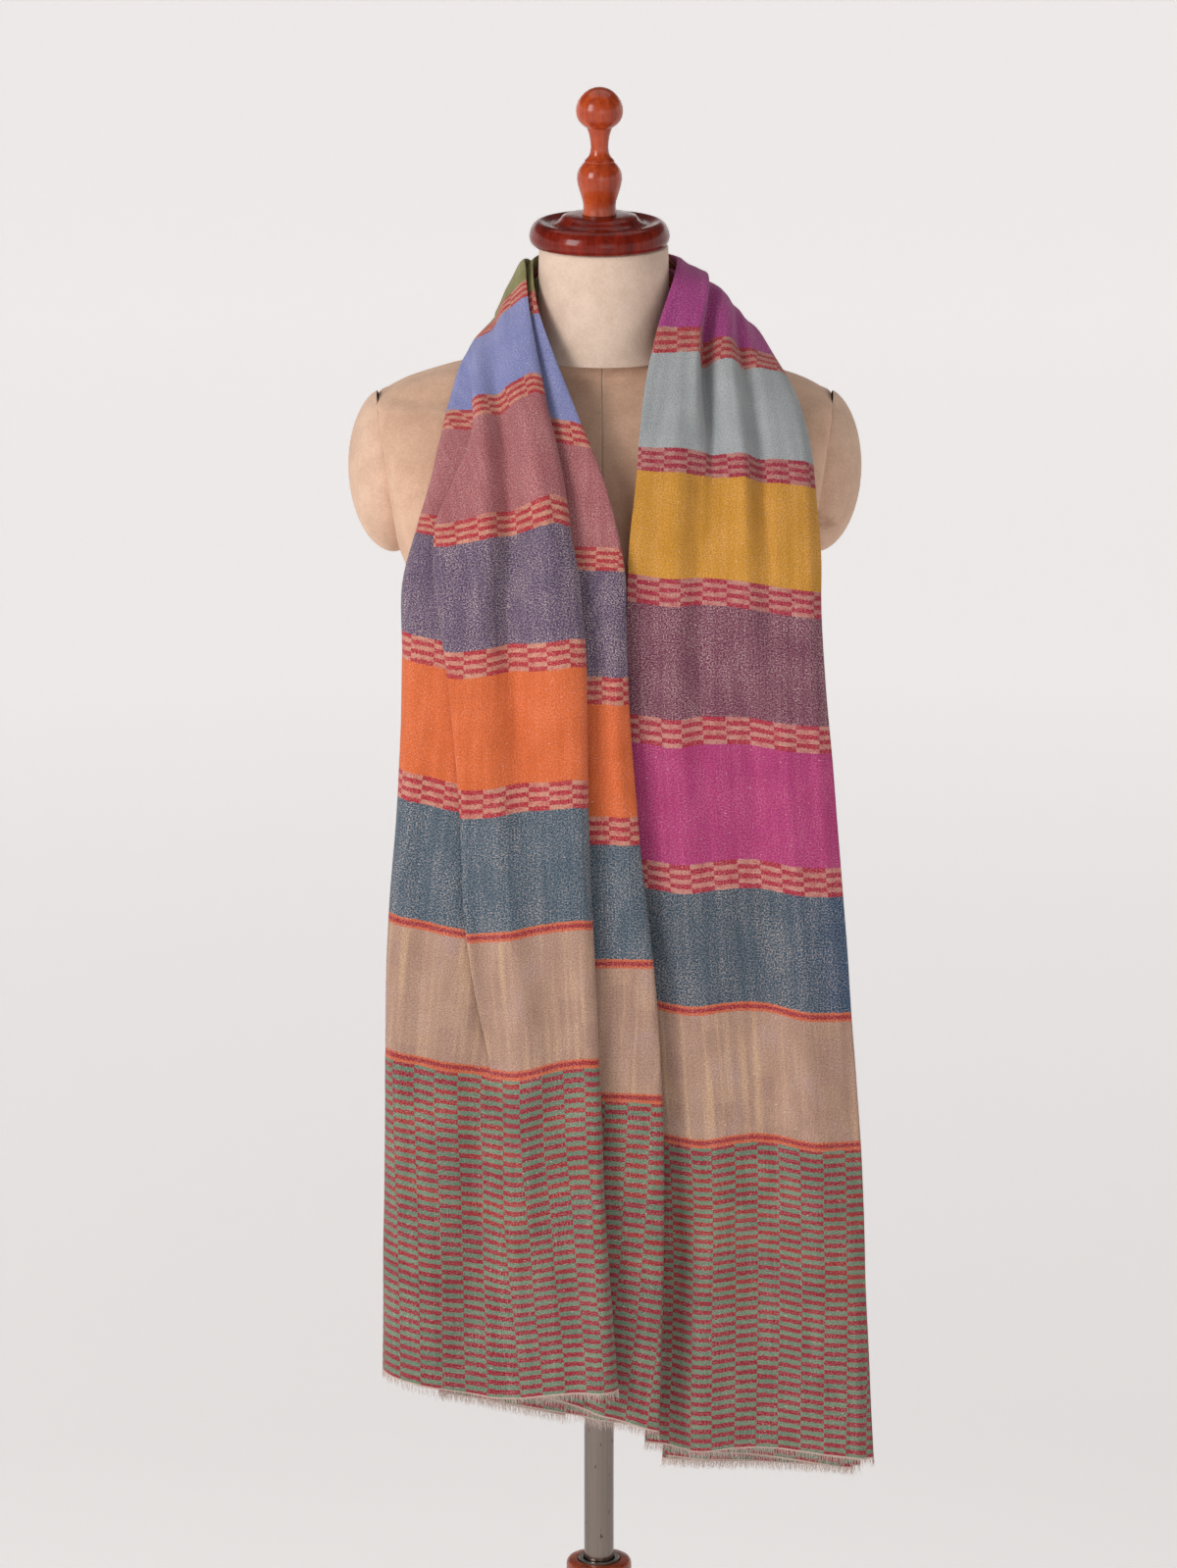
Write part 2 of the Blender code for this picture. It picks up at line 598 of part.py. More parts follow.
def clamp_knob(name, material, group):
    """The lobed knob of the clamp with its short screw, lying across the collar."""
    turn = math.radians(218.0)
    outward = Vector((math.cos(turn), math.sin(turn), 0.0))
    aside = Vector((-math.sin(turn), math.cos(turn), 0.0))
    stations = (
        (0.0250, 0.0030, 0.0), (0.0330, 0.0030, 0.0), (0.0332, 0.0075, 0.0),
        (0.0360, 0.0105, 0.6), (0.0390, 0.0120, 1.0), (0.0500, 0.0125, 1.0),
        (0.0530, 0.0110, 0.8), (0.0545, 0.0080, 0.3),
    )
    loops = []
    for out, radius, lobe in stations:
        loop = []
        for index in range(30):
            angle = 2.0 * math.pi * index / 30.0
            reach = radius * (1.0 + 0.09 * lobe * math.cos(5.0 * angle))
            point = outward * out + aside * (reach * math.cos(angle))
            loop.append((point.x, point.y, KNOB_HEIGHT + reach * math.sin(angle)))
        loops.append(np.array(loop))
    return loft(name, loops, material, group)


def main():
    clear_scene()
    group = bpy.data.collections.new("pashmina_shawl_on_form")
    bpy.context.scene.collection.children.link(group)

    left_cloth = make_material("striped_wool_left", (0.30, 0.24, 0.30), 0.85)
    nape_cloth = make_material("striped_wool_nape", (0.28, 0.27, 0.18), 0.85)
    right_cloth = make_material("striped_wool_right", (0.42, 0.17, 0.20), 0.85)
    left_yarn = make_material("fringe_yarn_left", (0.50, 0.40, 0.33), 0.90)
    right_yarn = make_material("fringe_yarn_right", (0.50, 0.40, 0.33), 0.90)
    body_cloth = make_material("form_suedecloth", (0.58, 0.40, 0.29), 0.80)
    neck_cloth = make_material("neck_suedecloth", (0.68, 0.55, 0.42), 0.80)
    plate_cloth = make_material("armhole_suedecloth", (0.60, 0.42, 0.30), 0.75)
    cap_wood = make_material("cap_wood", (0.13, 0.02, 0.01), 0.25)
    finial_wood = make_material("finial_wood", (0.32, 0.05, 0.015), 0.22)
    steel = make_material("pole_steel", (0.72, 0.72, 0.72), 0.20, 1.0)
    flange_steel = make_material("flange_steel", (0.60, 0.60, 0.60), 0.35, 1.0)
    sleeve_steel = make_material("sleeve_steel", (0.65, 0.65, 0.65), 0.30, 1.0)
    base_wood = make_material("base_wood", (0.45, 0.20, 0.08), 0.35)
    knob_plastic = make_material("knob_plastic", (0.82, 0.82, 0.80), 0.35)

    form = [
        hanging_half("shawl_left", -1, left_cloth, group),
        nape("shawl_nape", nape_cloth, group),
        hanging_half("shawl_right", 1, right_cloth, group),
        fringe("fringe_left", -1, left_yarn, group),
        fringe("fringe_right", 1, right_yarn, group),
        torso("torso", body_cloth, group),
        neck("neck", neck_cloth, group),
        shoulder_plate("armhole_plate_left", -1, plate_cloth, group),
        shoulder_plate("armhole_plate_right", 1, plate_cloth, group),
        turned("neck_cap", CAP_PROFILE, 32, cap_wood, group),
        turned("finial", FINIAL_PROFILE, 16, finial_wood, group),
    ]
    flange_profile = (
        (0.0000, TORSO_BOTTOM - SEAM), (FLANGE_RADIUS, TORSO_BOTTOM - SEAM),
        (FLANGE_RADIUS, TORSO_BOTTOM - SEAM - FLANGE_THICK),
        (0.0000, TORSO_BOTTOM - SEAM - FLANGE_THICK),
    )
    flange = turned("pole_flange", flange_profile, 32, flange_steel, group)
    pole_top = TORSO_BOTTOM - 2.0 * SEAM - FLANGE_THICK
    pole_profile = (
        (0.0000, pole_top), (POLE_RADIUS, pole_top),
        (POLE_RADIUS, POLE_LOW), (0.0000, POLE_LOW),
    )
    pole = turned("pole", pole_profile, 28, steel, group)
    sleeve_profile = (
        (SLEEVE_BORE, COLLAR_TOP + 0.001), (SLEEVE_RADIUS, COLLAR_TOP + 0.001),
        (SLEEVE_RADIUS, COLLAR_TOP - SLEEVE_LENGTH), (SLEEVE_BORE, COLLAR_TOP - SLEEVE_LENGTH),
        (SLEEVE_BORE, COLLAR_TOP + 0.001),
    )
    turned("sleeve", sleeve_profile, 28, sleeve_steel, group)
    turned("base", BASE_PROFILE, 32, base_wood, group)
    knob = clamp_knob("clamp_knob", knob_plastic, group)

    slide_place = (0.0, 0.0, POLE_LOW)
    turn_place = (0.0, 0.0, TORSO_BOTTOM)
    knob_place = (0.0, 0.0, KNOB_HEIGHT)
    slide = axis_empty("pole_slide_axis", slide_place, group)
    turn = axis_empty("form_turn_axis", turn_place, group)
    knob_turn = axis_empty("knob_turn_axis", knob_place, group)
    carry(slide, slide_place, [pole, flange, turn])
    carry(turn, turn_place, form)
    carry(knob_turn, knob_place, [knob])


main()
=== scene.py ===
import math

import bmesh
import bpy
import numpy as np
from mathutils import Matrix, Vector


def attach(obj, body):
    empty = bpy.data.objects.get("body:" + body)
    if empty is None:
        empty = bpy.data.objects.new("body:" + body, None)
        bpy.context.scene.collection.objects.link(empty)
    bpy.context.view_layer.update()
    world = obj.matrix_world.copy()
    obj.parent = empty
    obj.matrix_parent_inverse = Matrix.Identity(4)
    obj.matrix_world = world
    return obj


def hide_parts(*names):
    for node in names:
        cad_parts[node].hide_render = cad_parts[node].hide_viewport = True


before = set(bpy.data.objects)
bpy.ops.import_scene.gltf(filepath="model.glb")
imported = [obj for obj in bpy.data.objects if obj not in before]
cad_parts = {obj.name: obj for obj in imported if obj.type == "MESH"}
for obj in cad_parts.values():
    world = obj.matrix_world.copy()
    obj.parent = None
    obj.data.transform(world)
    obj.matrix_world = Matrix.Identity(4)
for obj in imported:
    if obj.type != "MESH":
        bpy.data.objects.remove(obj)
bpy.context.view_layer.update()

# Lengths in metres. +Z is up, the form's front looks along -Y and the stand is on the floor.
EYE = 1.000
NECK_BOTTOM = 1.322
NECK_TOP = 1.4018
POLE_RADIUS = 0.0112
POLE_LOW = 0.140
POLE_TOP = 0.7254
SLEEVE_RADIUS = 0.0155
SLEEVE_BORE = 0.0121
COLLAR_TOP = 0.394
KNOB_HEIGHT = 0.372
KNOB_TURN = math.radians(218.0)
FOLD_REACH = 0.0030
FOLD_TURN = 0.012
FOLD_CUTS = 14
LIFT_REACH = 0.010
BEND_WEIGHT = 0.0040
PATH_START = -0.030
PATH_STEP = 0.002
TRAVEL = 0.004
REAR_LAYER = 6.0
TORSO_SHIFT = 0.0040
PLATE_CENTRE = 0.236
PLATE_HEIGHT = 0.059
PLATE_DEPTH = 0.046
PLATE_DOME = 0.0295
PLATE_OUT = 0.1572
PLATE_LEAN = math.radians(8.5)
PLATE_SINK = 0.0085
PLATE_FLAT = 0.25
LEAST_FLAT = 0.006
NECK_MIDDLE = (0.0030, 0.0020)
NECK_HALF = 0.0478
NECK_DEPTH = 0.0500
NECK_TAPER = (0.0010, 0.0040)

# The set.
BACKDROP_RADIUS = 20.0
BACKDROP_TOP = 5.5
BACKDROP_BEND = 2.0
CAMERA_DISTANCE = 5.33
CAMERA_ANGLE = math.radians(15.0)
CAMERA_ASIDE = -0.0079
CAMERA_LENS = 166.5

# The cloth as it was woven.
CLOTH_LENGTH = 2.048
BORDER_END = 0.245
LINE_WIDTH = 0.007
PLAIN_END = 0.352
BAND_STEP = 0.105
BAND_SHARE = 0.8
BANDS = 13
COLUMN_WIDTH = 0.0166
COLUMN_START = 0.3800
BORDER_ROW = 0.00362
CHECK_ROWS = 6.0
SQUARE_STEP = 0.0185
TWILL_STEP = 0.0021
CELL_STEP = 0.0020
HEM_YARN = 0.0012
STRAND_STEP = 0.00062
STRAND_LENGTH = (0.0052, 0.0082)
STRAND_THICKNESS = (0.00016, 0.00026)
SHORT_STRANDS = 0.12
STRAND_LEVELS = 4
STRAND_SIDES = 3

# Weft rows of the two halves, from the hem to the nape. Columns, in metres: the way along the
# cloth, then the outer and the inner end of the folded bundle (across, depth, height over EYE),
# the spacing of the layers and, on the right half, how far its pleats are shut (1) or open (0).
LEFT_ROWS = (
    (0.0, -0.1595, -0.138, -0.414, 0.044, -0.146, -0.453, 0.0036),
    (0.12, -0.158, -0.142, -0.294, 0.0465, -0.148, -0.331, 0.0036),
    (0.2, -0.157, -0.144, -0.215, 0.047, -0.149, -0.246, 0.0036),
    (0.24, -0.1565, -0.145, -0.176, 0.046, -0.15, -0.205, 0.0036),
    (0.28, -0.1555, -0.145, -0.1355, 0.044, -0.15, -0.164, 0.0036),
    (0.345, -0.153, -0.145, -0.0695, 0.039, -0.151, -0.098, 0.0036),
    (0.436, -0.146, -0.145, 0.024, 0.029, -0.151, -0.005, 0.0036),
    (0.541, -0.142, -0.143, 0.127, 0.021, -0.15, 0.098, 0.0036),
    (0.6, -0.142, -0.139, 0.182, 0.019, -0.149, 0.154, 0.0036),
    (0.646, -0.132, -0.131, 0.222, 0.0175, -0.146, 0.197, 0.0036),
    (0.688, -0.124, -0.113, 0.252, 0.01, -0.137, 0.234, 0.0034),
    (0.73, -0.117, -0.09, 0.284, -0.002, -0.121, 0.271, 0.0032),
    (0.772, -0.112, -0.062, 0.308, -0.018, -0.096, 0.304, 0.003),
    (0.814, -0.1055, -0.038, 0.325, -0.034, -0.067, 0.336, 0.0029),
    (0.856, -0.096, -0.015, 0.334, -0.048, -0.04, 0.365, 0.0029),
    (0.9, -0.085, 0.012, 0.337, -0.054, -0.004, 0.386, 0.0029),
    (0.96, -0.077, 0.057, 0.322, -0.048, 0.045, 0.391, 0.003),
    (1.024, 0.0, 0.086, 0.303, 0.0, 0.073, 0.391, 0.003),
)
RIGHT_ROWS = (
    (0.0, 0.201, -0.136, -0.477, 0.033, -0.126, -0.472, 0.0036, 0.0),
    (0.12, 0.195, -0.14, -0.358, 0.0385, -0.128, -0.354, 0.0036, 0.0),
    (0.245, 0.19, -0.142, -0.238, 0.0385, -0.133, -0.237, 0.0036, 0.0),
    (0.345, 0.182, -0.144, -0.14, 0.032, -0.136, -0.135, 0.0036, 0.0),
    (0.436, 0.175, -0.144, -0.0465, 0.025, -0.138, -0.0435, 0.0036, 0.0),
    (0.541, 0.166, -0.143, 0.06, 0.018, -0.139, 0.066, 0.0036, 0.0),
    (0.6, 0.161, -0.139, 0.117, 0.018, -0.139, 0.126, 0.0036, 0.0),
    (0.646, 0.1585, -0.134, 0.163, 0.0195, -0.137, 0.175, 0.0036, 0.1),
    (0.688, 0.1585, -0.123, 0.202, 0.022, -0.134, 0.218, 0.0035, 0.3),
    (0.73, 0.156, -0.106, 0.239, 0.027, -0.124, 0.256, 0.0034, 0.5),
    (0.772, 0.152, -0.0845, 0.2735, 0.03, -0.106, 0.2905, 0.0033, 0.7),
    (0.814, 0.1435, -0.0585, 0.304, 0.034, -0.08, 0.3225, 0.0032, 0.9),
    (0.856, 0.131, -0.026, 0.323, 0.0425, -0.05, 0.352, 0.0031, 1.0),
    (0.9, 0.117, 0.012, 0.336, 0.056, -0.01, 0.386, 0.003, 1.0),
    (0.96, 0.096, 0.057, 0.322, 0.0515, 0.043, 0.391, 0.003, 1.0),
    (1.024, 0.0, 0.086, 0.303, 0.0, 0.073, 0.391, 0.003, 1.0),
)

# The folds met on one weft row, from the outer selvedge to the inner one. Columns: the fold's
# place across the bundle (0 outer, 1 inner) with the pleats shut and opened, then the layer
# that follows it (0 is the front one) shut and opened, and how far the fold is lifted.
LEFT_FOLDS = (
    ("selvedge", 0.16, 0.16, 6.0, 6.0, 0.006),
    ("rear_turn", 0.84, 0.84, 5.0, 5.0, 0.004),
    ("outer", 0.0, 0.0, 2.0, 0.6, 0.0),
    ("under_pleat", 0.4, 0.38, 1.0, 0.3, 0.0),
    ("pleat", 0.25, 0.47, 0.0, 0.0, 0.0),
    ("front", 0.82, 0.83, 1.0, 1.0, 0.0),
    ("tuck", 0.58, 0.56, 2.0, 2.0, 0.0),
    ("inner", 1.0, 1.0, 3.0, 3.0, 0.0),
    ("inner_turn", 0.2, 0.2, 4.0, 4.0, -0.006),
    ("inner_selvedge", 0.66, 0.66, 4.0, 4.0, -0.006),
)
RIGHT_FOLDS = (
    ("selvedge", 0.06, 0.06, 5.0, 5.0, -0.012),
    ("rear_turn", 0.92, 0.92, 4.0, 4.0, -0.014),
    ("outer", 0.0, 0.0, 0.0, 0.2, 0.0),
    ("ridge", 0.3, 0.24, 0.8, 0.5, 0.002),
    ("valley", 0.45, 0.42, 1.2, 0.2, 0.005),
    ("bend", 0.6, 0.6, 0.5, 0.5, 0.004),
    ("lip", 0.84, 0.8, 0.7, 0.9, -0.001),
    ("inner", 1.0, 1.0, 2.0, 2.0, 0.003),
    ("inner_turn", 0.09, 0.09, 3.0, 3.0, -0.01),
    ("inner_selvedge", 0.9, 0.9, 3.0, 3.0, -0.01),
)
COUNTED_FOLD = 5
NAPE_START = 0.885
NAPE_CENTRE = 1.024
NAPE_EDGE = 1.020
STRAIGHT_END = 0.620
STRAIGHT_STEP = 0.0088
CURVED_STEP = 0.0052

# How the left half's pleat wanders. Columns: the way along the cloth, the place across the
# bundle of the front panel's outer fold and of its inner one, the lift in metres of those two
# folds and of the tuck behind them, and how far the pleat is shut (1) or opened out flat (0).
LEFT_PLEAT = (
    (0.0, 0.47, 0.85, 0.004, 0.033, 0.008, 0.0),
    (0.08, 0.47, 0.815, 0.002, 0.029, 0.001, 0.0),
    (0.18, 0.45, 0.785, 0.0, 0.026, -0.007, 0.0),
    (0.235, 0.4, 0.78, -0.002, 0.0255, -0.01, 0.2),
    (0.27, 0.368, 0.78, -0.0025, 0.0265, -0.012, 0.55),
    (0.31, 0.33, 0.78, -0.0025, 0.0275, -0.013, 0.9),
    (0.365, 0.29, 0.785, -0.0025, 0.028, -0.014, 1.0),
    (0.436, 0.265, 0.798, -0.004, 0.0262, -0.0143, 1.0),
    (0.5, 0.23, 0.815, -0.0052, 0.0262, -0.014, 1.0),
    (0.56, 0.195, 0.82, -0.0075, 0.0285, -0.013, 1.0),
    (0.6, 0.165, 0.795, -0.0092, 0.0285, -0.0125, 1.0),
    (0.64, 0.108, 0.755, -0.0105, 0.031, -0.0115, 1.0),
    (0.665, 0.088, 0.757, -0.011, 0.0355, -0.0105, 1.0),
    (0.7, 0.14, 0.768, -0.004, 0.0405, -0.008, 1.0),
    (0.74, 0.232, 0.8, 0.0045, 0.041, 0.0, 0.95),
    (0.765, 0.22, 0.835, 0.006, 0.0385, 0.004, 0.7),
    (0.79, 0.205, 0.87, 0.008, 0.037, 0.006, 0.4),
    (0.83, 0.2, 0.93, 0.004, 0.025, 0.006, 0.05),
    (0.865, 0.2, 0.965, 0.001, 0.013, 0.003, 0.0),
    (0.9, 0.2, 0.98, 0.0, 0.003, 0.001, 0.05),
    (0.94, 0.215, 0.94, 0.0, 0.0, 0.0, 0.5),
    (0.98, 0.25, 0.86, 0.0, 0.0, 0.0, 1.0),
    (1.024, 0.25, 0.82, 0.0, 0.0, 0.0, 1.0),
)

# How far the pattern runs ahead of the weft rows. Columns: the way along the cloth, and the
# lead in metres on the left half and on the right one.
PATTERN_LEAD = (
    (0.0, 0.0, 0.0),
    (0.5, 0.0, 0.0),
    (0.56, 0.0, 0.001),
    (0.6, 0.001, 0.0035),
    (0.64, 0.0018, 0.006),
    (0.7, 0.007, 0.01),
    (0.745, 0.01, 0.0125),
    (0.79, 0.013, 0.018),
    (0.83, 0.006, 0.02),
    (0.87, -0.0015, 0.0185),
    (0.93, -0.002, 0.012),
    (1.024, 0.0, 0.0),
)

# Creases laid over the layers of a half, the troughs fading towards the rear ones. Columns: where
# the crease ends towards the hem and towards the nape (along the cloth), its place across the
# bundle at those two ends, its half width in metres at those two ends, and its height (a ridge)
# or depth (a trough, below zero).
LEFT_CREASES = (
    (0.54, 0.84, 0.4, 0.24, 0.012, 0.006, 0.005),
    (0.42, 0.83, 0.54, 0.4, 0.013, 0.006, -0.01),
    (0.5, 0.8, 0.7, 0.58, 0.012, 0.008, 0.005),
    (0.23, 0.52, 0.56, 0.36, 0.012, 0.009, 0.005),
    (0.16, 0.42, 0.46, 0.3, 0.009, 0.008, -0.0048),
    (0.06, 0.33, 0.45, 0.52, 0.017, 0.009, 0.006),
    (-0.08, 0.28, 0.3, 0.37, 0.022, 0.014, -0.0064),
    (0.02, 0.4, 0.68, 0.65, 0.02, 0.012, -0.0046),
    (-0.1, 0.26, 0.14, 0.16, 0.016, 0.012, 0.004),
    (0.1, 0.56, 0.12, 0.13, 0.011, 0.008, -0.004),
    (0.34, 0.66, 0.93, 0.94, 0.006, 0.006, 0.004),
    (-0.1, 0.2, 0.8, 0.76, 0.011, 0.008, 0.004),
    (0.79, 0.93, 0.62, 0.56, 0.008, 0.011, 0.002),
    (0.8, 0.94, 0.34, 0.3, 0.008, 0.01, -0.003),
)
RIGHT_CREASES = (
    (0.76, 0.945, 0.6, 0.64, 0.0058, 0.0036, -0.0085),
    (0.735, 0.88, 0.575, 0.61, 0.004, 0.0036, -0.006),
    (0.74, 0.94, 0.665, 0.71, 0.0065, 0.005, 0.005),
    (0.56, 0.93, 0.35, 0.5, 0.013, 0.007, 0.007),
    (0.68, 0.9, 0.29, 0.34, 0.009, 0.006, -0.005),
    (0.64, 0.925, 0.78, 0.8, 0.015, 0.008, 0.004),
    (0.79, 1.01, 0.5, 0.56, 0.035, 0.03, 0.007),
    (0.48, 0.8, 0.62, 0.65, 0.011, 0.008, -0.0045),
    (0.42, 0.76, 0.86, 0.85, 0.009, 0.007, -0.003),
    (0.3, 0.68, 0.7, 0.76, 0.02, 0.014, 0.0036),
    (0.24, 0.64, 0.42, 0.43, 0.024, 0.015, -0.004),
    (0.18, 0.62, 0.23, 0.25, 0.02, 0.014, 0.0044),
    (0.0, 0.42, 0.24, 0.26, 0.026, 0.017, 0.004),
    (-0.08, 0.4, 0.48, 0.52, 0.022, 0.016, -0.0048),
    (-0.1, 0.34, 0.72, 0.7, 0.026, 0.018, 0.0048),
    (-0.1, 0.26, 0.9, 0.88, 0.012, 0.01, -0.005),
    (0.04, 0.5, 0.06, 0.05, 0.012, 0.01, -0.0036),
    (0.84, 0.93, 0.16, 0.18, 0.009, 0.011, -0.002),
)

# How far the front layers stand forward of the rear ones. Columns: the way along the cloth,
# then the distance at the outer end, in the middle and at the inner end of the bundle.
LEFT_SPREAD = (
    (0.0, 0.003, 0.001, 0.01),
    (0.25, 0.002, 0.001, 0.008),
    (0.45, 0.001, 0.0015, 0.005),
    (0.65, 0.001, 0.002, 0.002),
    (0.8, 0.0, 0.0, 0.0),
    (1.024, 0.0, 0.0, 0.0),
)
RIGHT_SPREAD = (
    (0.0, 0.004, 0.002, 0.0),
    (0.3, 0.003, 0.001, 0.0),
    (0.6, 0.002, 0.001, 0.0),
    (0.8, 0.0, 0.0, 0.0),
    (1.024, 0.0, 0.0, 0.0),
)

# How far the front layer alone stands off the next one, and how deep the folds roll back.
# Columns, in metres: the way along the cloth, then on the left half the distance next to the
# front fold and how deep that fold rolls back, and on the right half how deep the outer and the
# inner fold roll back.
LEFT_STAND = (
    (-0.05, 0.015, 0.007),
    (0.1, 0.014, 0.007),
    (0.3, 0.011, 0.006),
    (0.45, 0.0105, 0.006),
    (0.65, 0.0085, 0.005),
    (0.76, 0.0055, 0.0035),
    (0.86, 0.0, 0.0),
    (1.024, 0.0, 0.0),
)
RIGHT_ROLL = (
    (-0.05, 0.006, 0.006),
    (0.2, 0.0055, 0.0065),
    (0.6, 0.005, 0.0065),
    (0.72, 0.004, 0.005),
    (0.86, 0.0, 0.0),
    (1.024, 0.0, 0.0),
)
ROLL_WIDTH = 0.015
INNER_ROLL_WIDTH = 3.2 * ROLL_WIDTH
OUTER_ROLL_WIDTH = 0.060
OUTER_ROLL = 1.8
FRONT_LAYER = 1.5

# The cloth between the left half's outer fold and its front one. Columns: the way along the
# cloth and the metres across it, what is more or less being taken up inside the pleat.
LEFT_BETWEEN = (
    (-0.05, 0.187),
    (0.1, 0.183),
    (0.24, 0.175),
    (0.5, 0.19),
    (0.6, 0.196),
    (0.65, 0.182),
    (0.7, 0.156),
    (0.75, 0.122),
    (0.8, 0.076),
    (0.85, 0.061),
    (0.9, 0.057),
    (0.95, 0.074),
    (1.024, 0.077),
)

# The form's body from hem to neck. Columns: height over EYE, half width, depth to the front,
# depth to the back, squareness of the outline.
TORSO_ROWS = (
    (-0.27, 0.136, 0.092, 0.098, 2.2),
    (-0.255, 0.141, 0.097, 0.105, 2.2),
    (-0.175, 0.144, 0.1, 0.112, 2.2),
    (-0.1, 0.138, 0.094, 0.106, 2.2),
    (-0.035, 0.121, 0.086, 0.088, 2.2),
    (0.02, 0.114, 0.084, 0.078, 2.2),
    (0.07, 0.12, 0.092, 0.08, 2.2),
    (0.12, 0.13, 0.108, 0.088, 2.3),
    (0.155, 0.139, 0.117, 0.094, 2.4),
    (0.185, 0.1487, 0.1187, 0.097, 2.5),
    (0.215, 0.1532, 0.11, 0.098, 2.5),
    (0.242, 0.1573, 0.097, 0.096, 2.5),
    (0.265, 0.1608, 0.082, 0.089, 2.4),
    (0.283, 0.1634, 0.0673, 0.078, 2.3),
    (0.294, 0.16, 0.056, 0.066, 2.2),
    (0.302, 0.146, 0.048, 0.056, 2.2),
    (0.3095, 0.124, 0.0425, 0.05, 2.2),
    (0.3155, 0.098, 0.0415, 0.048, 2.1),
    (0.3198, 0.072, 0.0435, 0.0475, 2.0),
    (0.3222, 0.058, 0.045, 0.047, 2.0),
)

# How far the neck's cover spreads at its foot: the height over NECK_BOTTOM and the spread.
NECK_SPREAD = (
    (0.0001, 0.0118), (0.0006, 0.0124), (0.0014, 0.0112), (0.003, 0.0084), (0.0055, 0.0058),
    (0.0095, 0.0034), (0.015, 0.0017), (0.022, 0.0007), (0.032, 0.0002), (0.052, 0.0),
    (0.062, 0.0),
)

# The hand knob, from the collar outwards: the distance from the pole's centre line, the radius
# and how far its five arms stand out.
KNOB_ROWS = (
    (0.033, 0.0045, 0.0), (0.0331, 0.0062, 0.0), (0.0338, 0.007, 0.1), (0.0355, 0.0082, 0.3),
    (0.0375, 0.01, 0.7), (0.0392, 0.0112, 0.95), (0.041, 0.0116, 1.0), (0.0455, 0.0117, 1.0),
    (0.0498, 0.0116, 1.0), (0.0516, 0.0111, 0.95), (0.053, 0.0099, 0.8), (0.054, 0.0078, 0.5),
    (0.0545, 0.0045, 0.1), (0.0546, 0.0001, 0.0),
)

# Turned profiles, as radius and height, each walked down its outer side.
CAP_PROFILE = (
    (0.0, 1.4246), (0.018, 1.4246), (0.024, 1.4243), (0.0268, 1.4234), (0.0284, 1.4212),
    (0.0305, 1.419), (0.0335, 1.4178), (0.0362, 1.4176), (0.0386, 1.4182), (0.0408, 1.4192),
    (0.0432, 1.4198), (0.0456, 1.4191), (0.048, 1.417), (0.0497, 1.4138), (0.0506, 1.4104),
    (0.0507, 1.4084), (0.0502, 1.406), (0.0492, 1.4041), (0.0478, 1.4028), (0.046, 1.4022),
    (0.0, 1.4022),
)
FINIAL_PROFILE = (
    (0.0, 1.517), (0.0036, 1.5166), (0.0072, 1.5153), (0.0105, 1.5132), (0.0133, 1.5103),
    (0.0154, 1.5069), (0.0167, 1.5031), (0.017, 1.4994), (0.0165, 1.4959), (0.015, 1.4927),
    (0.0128, 1.4902), (0.0105, 1.4884), (0.009, 1.4875), (0.0088, 1.4865), (0.0083, 1.4853),
    (0.0073, 1.482), (0.0066, 1.4777), (0.0063, 1.4735), (0.0068, 1.4697), (0.008, 1.4668),
    (0.01, 1.4647), (0.0108, 1.4638), (0.0107, 1.463), (0.0112, 1.4623), (0.0128, 1.4605),
    (0.0148, 1.4577), (0.016, 1.4543), (0.0163, 1.4506), (0.0157, 1.4464), (0.0145, 1.4422),
    (0.0132, 1.438), (0.0121, 1.4343), (0.0117, 1.4309), (0.0118, 1.428), (0.0124, 1.4259),
    (0.0124, 1.4248), (0.0, 1.4248),
)
BASE_PROFILE = (
    (0.0, 0.06), (0.016, 0.06), (0.016, 0.3932), (0.0166, 0.394), (0.0218, 0.394),
    (0.0232, 0.3934), (0.0241, 0.392), (0.0245, 0.39), (0.0246, 0.3715), (0.0242, 0.369),
    (0.0236, 0.3672), (0.0237, 0.3654), (0.0248, 0.3636), (0.0254, 0.3615), (0.0256, 0.354),
    (0.0258, 0.32), (0.0262, 0.26), (0.0272, 0.2), (0.029, 0.14), (0.0308, 0.113),
    (0.034, 0.09), (0.039, 0.07), (0.046, 0.056), (0.054, 0.0478), (0.064, 0.0425),
    (0.074, 0.0388), (0.086, 0.0362), (0.12, 0.0336), (0.156, 0.0312), (0.17, 0.0298),
    (0.18, 0.0282), (0.1862, 0.0255), (0.1892, 0.022), (0.19, 0.0185), (0.19, 0.0055),
    (0.1892, 0.0018), (0.187, 0.0), (0.0, 0.0),
)


def srgb(red, green, blue):
    """A colour as seen on a screen (0 to 255), as the renderer's linear one."""
    out = []
    for value in (red, green, blue):
        value = value / 255.0
        out.append(value / 12.92 if value <= 0.04045 else ((value + 0.055) / 1.055) ** 2.4)
    return (*out, 1.0)


# The bands from the left half's first one above the plain band to the right half's last: how
# much the pale warp shows in each, and its colour.
BAND_SALT = (0.80, 0.30, 1.00, 0.62, 0.45, 0.42, 0.45, 0.30, 0.36, 0.40, 0.80, 0.34, 0.75)
BAND_COLOURS = (
    srgb(69, 94, 111), srgb(218, 104, 50), srgb(100, 82, 114), srgb(174, 98, 104),
    srgb(134, 142, 194), srgb(136, 134, 76), srgb(132, 116, 98), srgb(168, 56, 132),
    srgb(166, 172, 174), srgb(208, 146, 42), srgb(124, 62, 88), srgb(178, 54, 116),
    srgb(6, 74, 120),
)


def ease(value):
    value = min(max(value, 0.0), 1.0)
    return value * value * (3.0 - 2.0 * value)


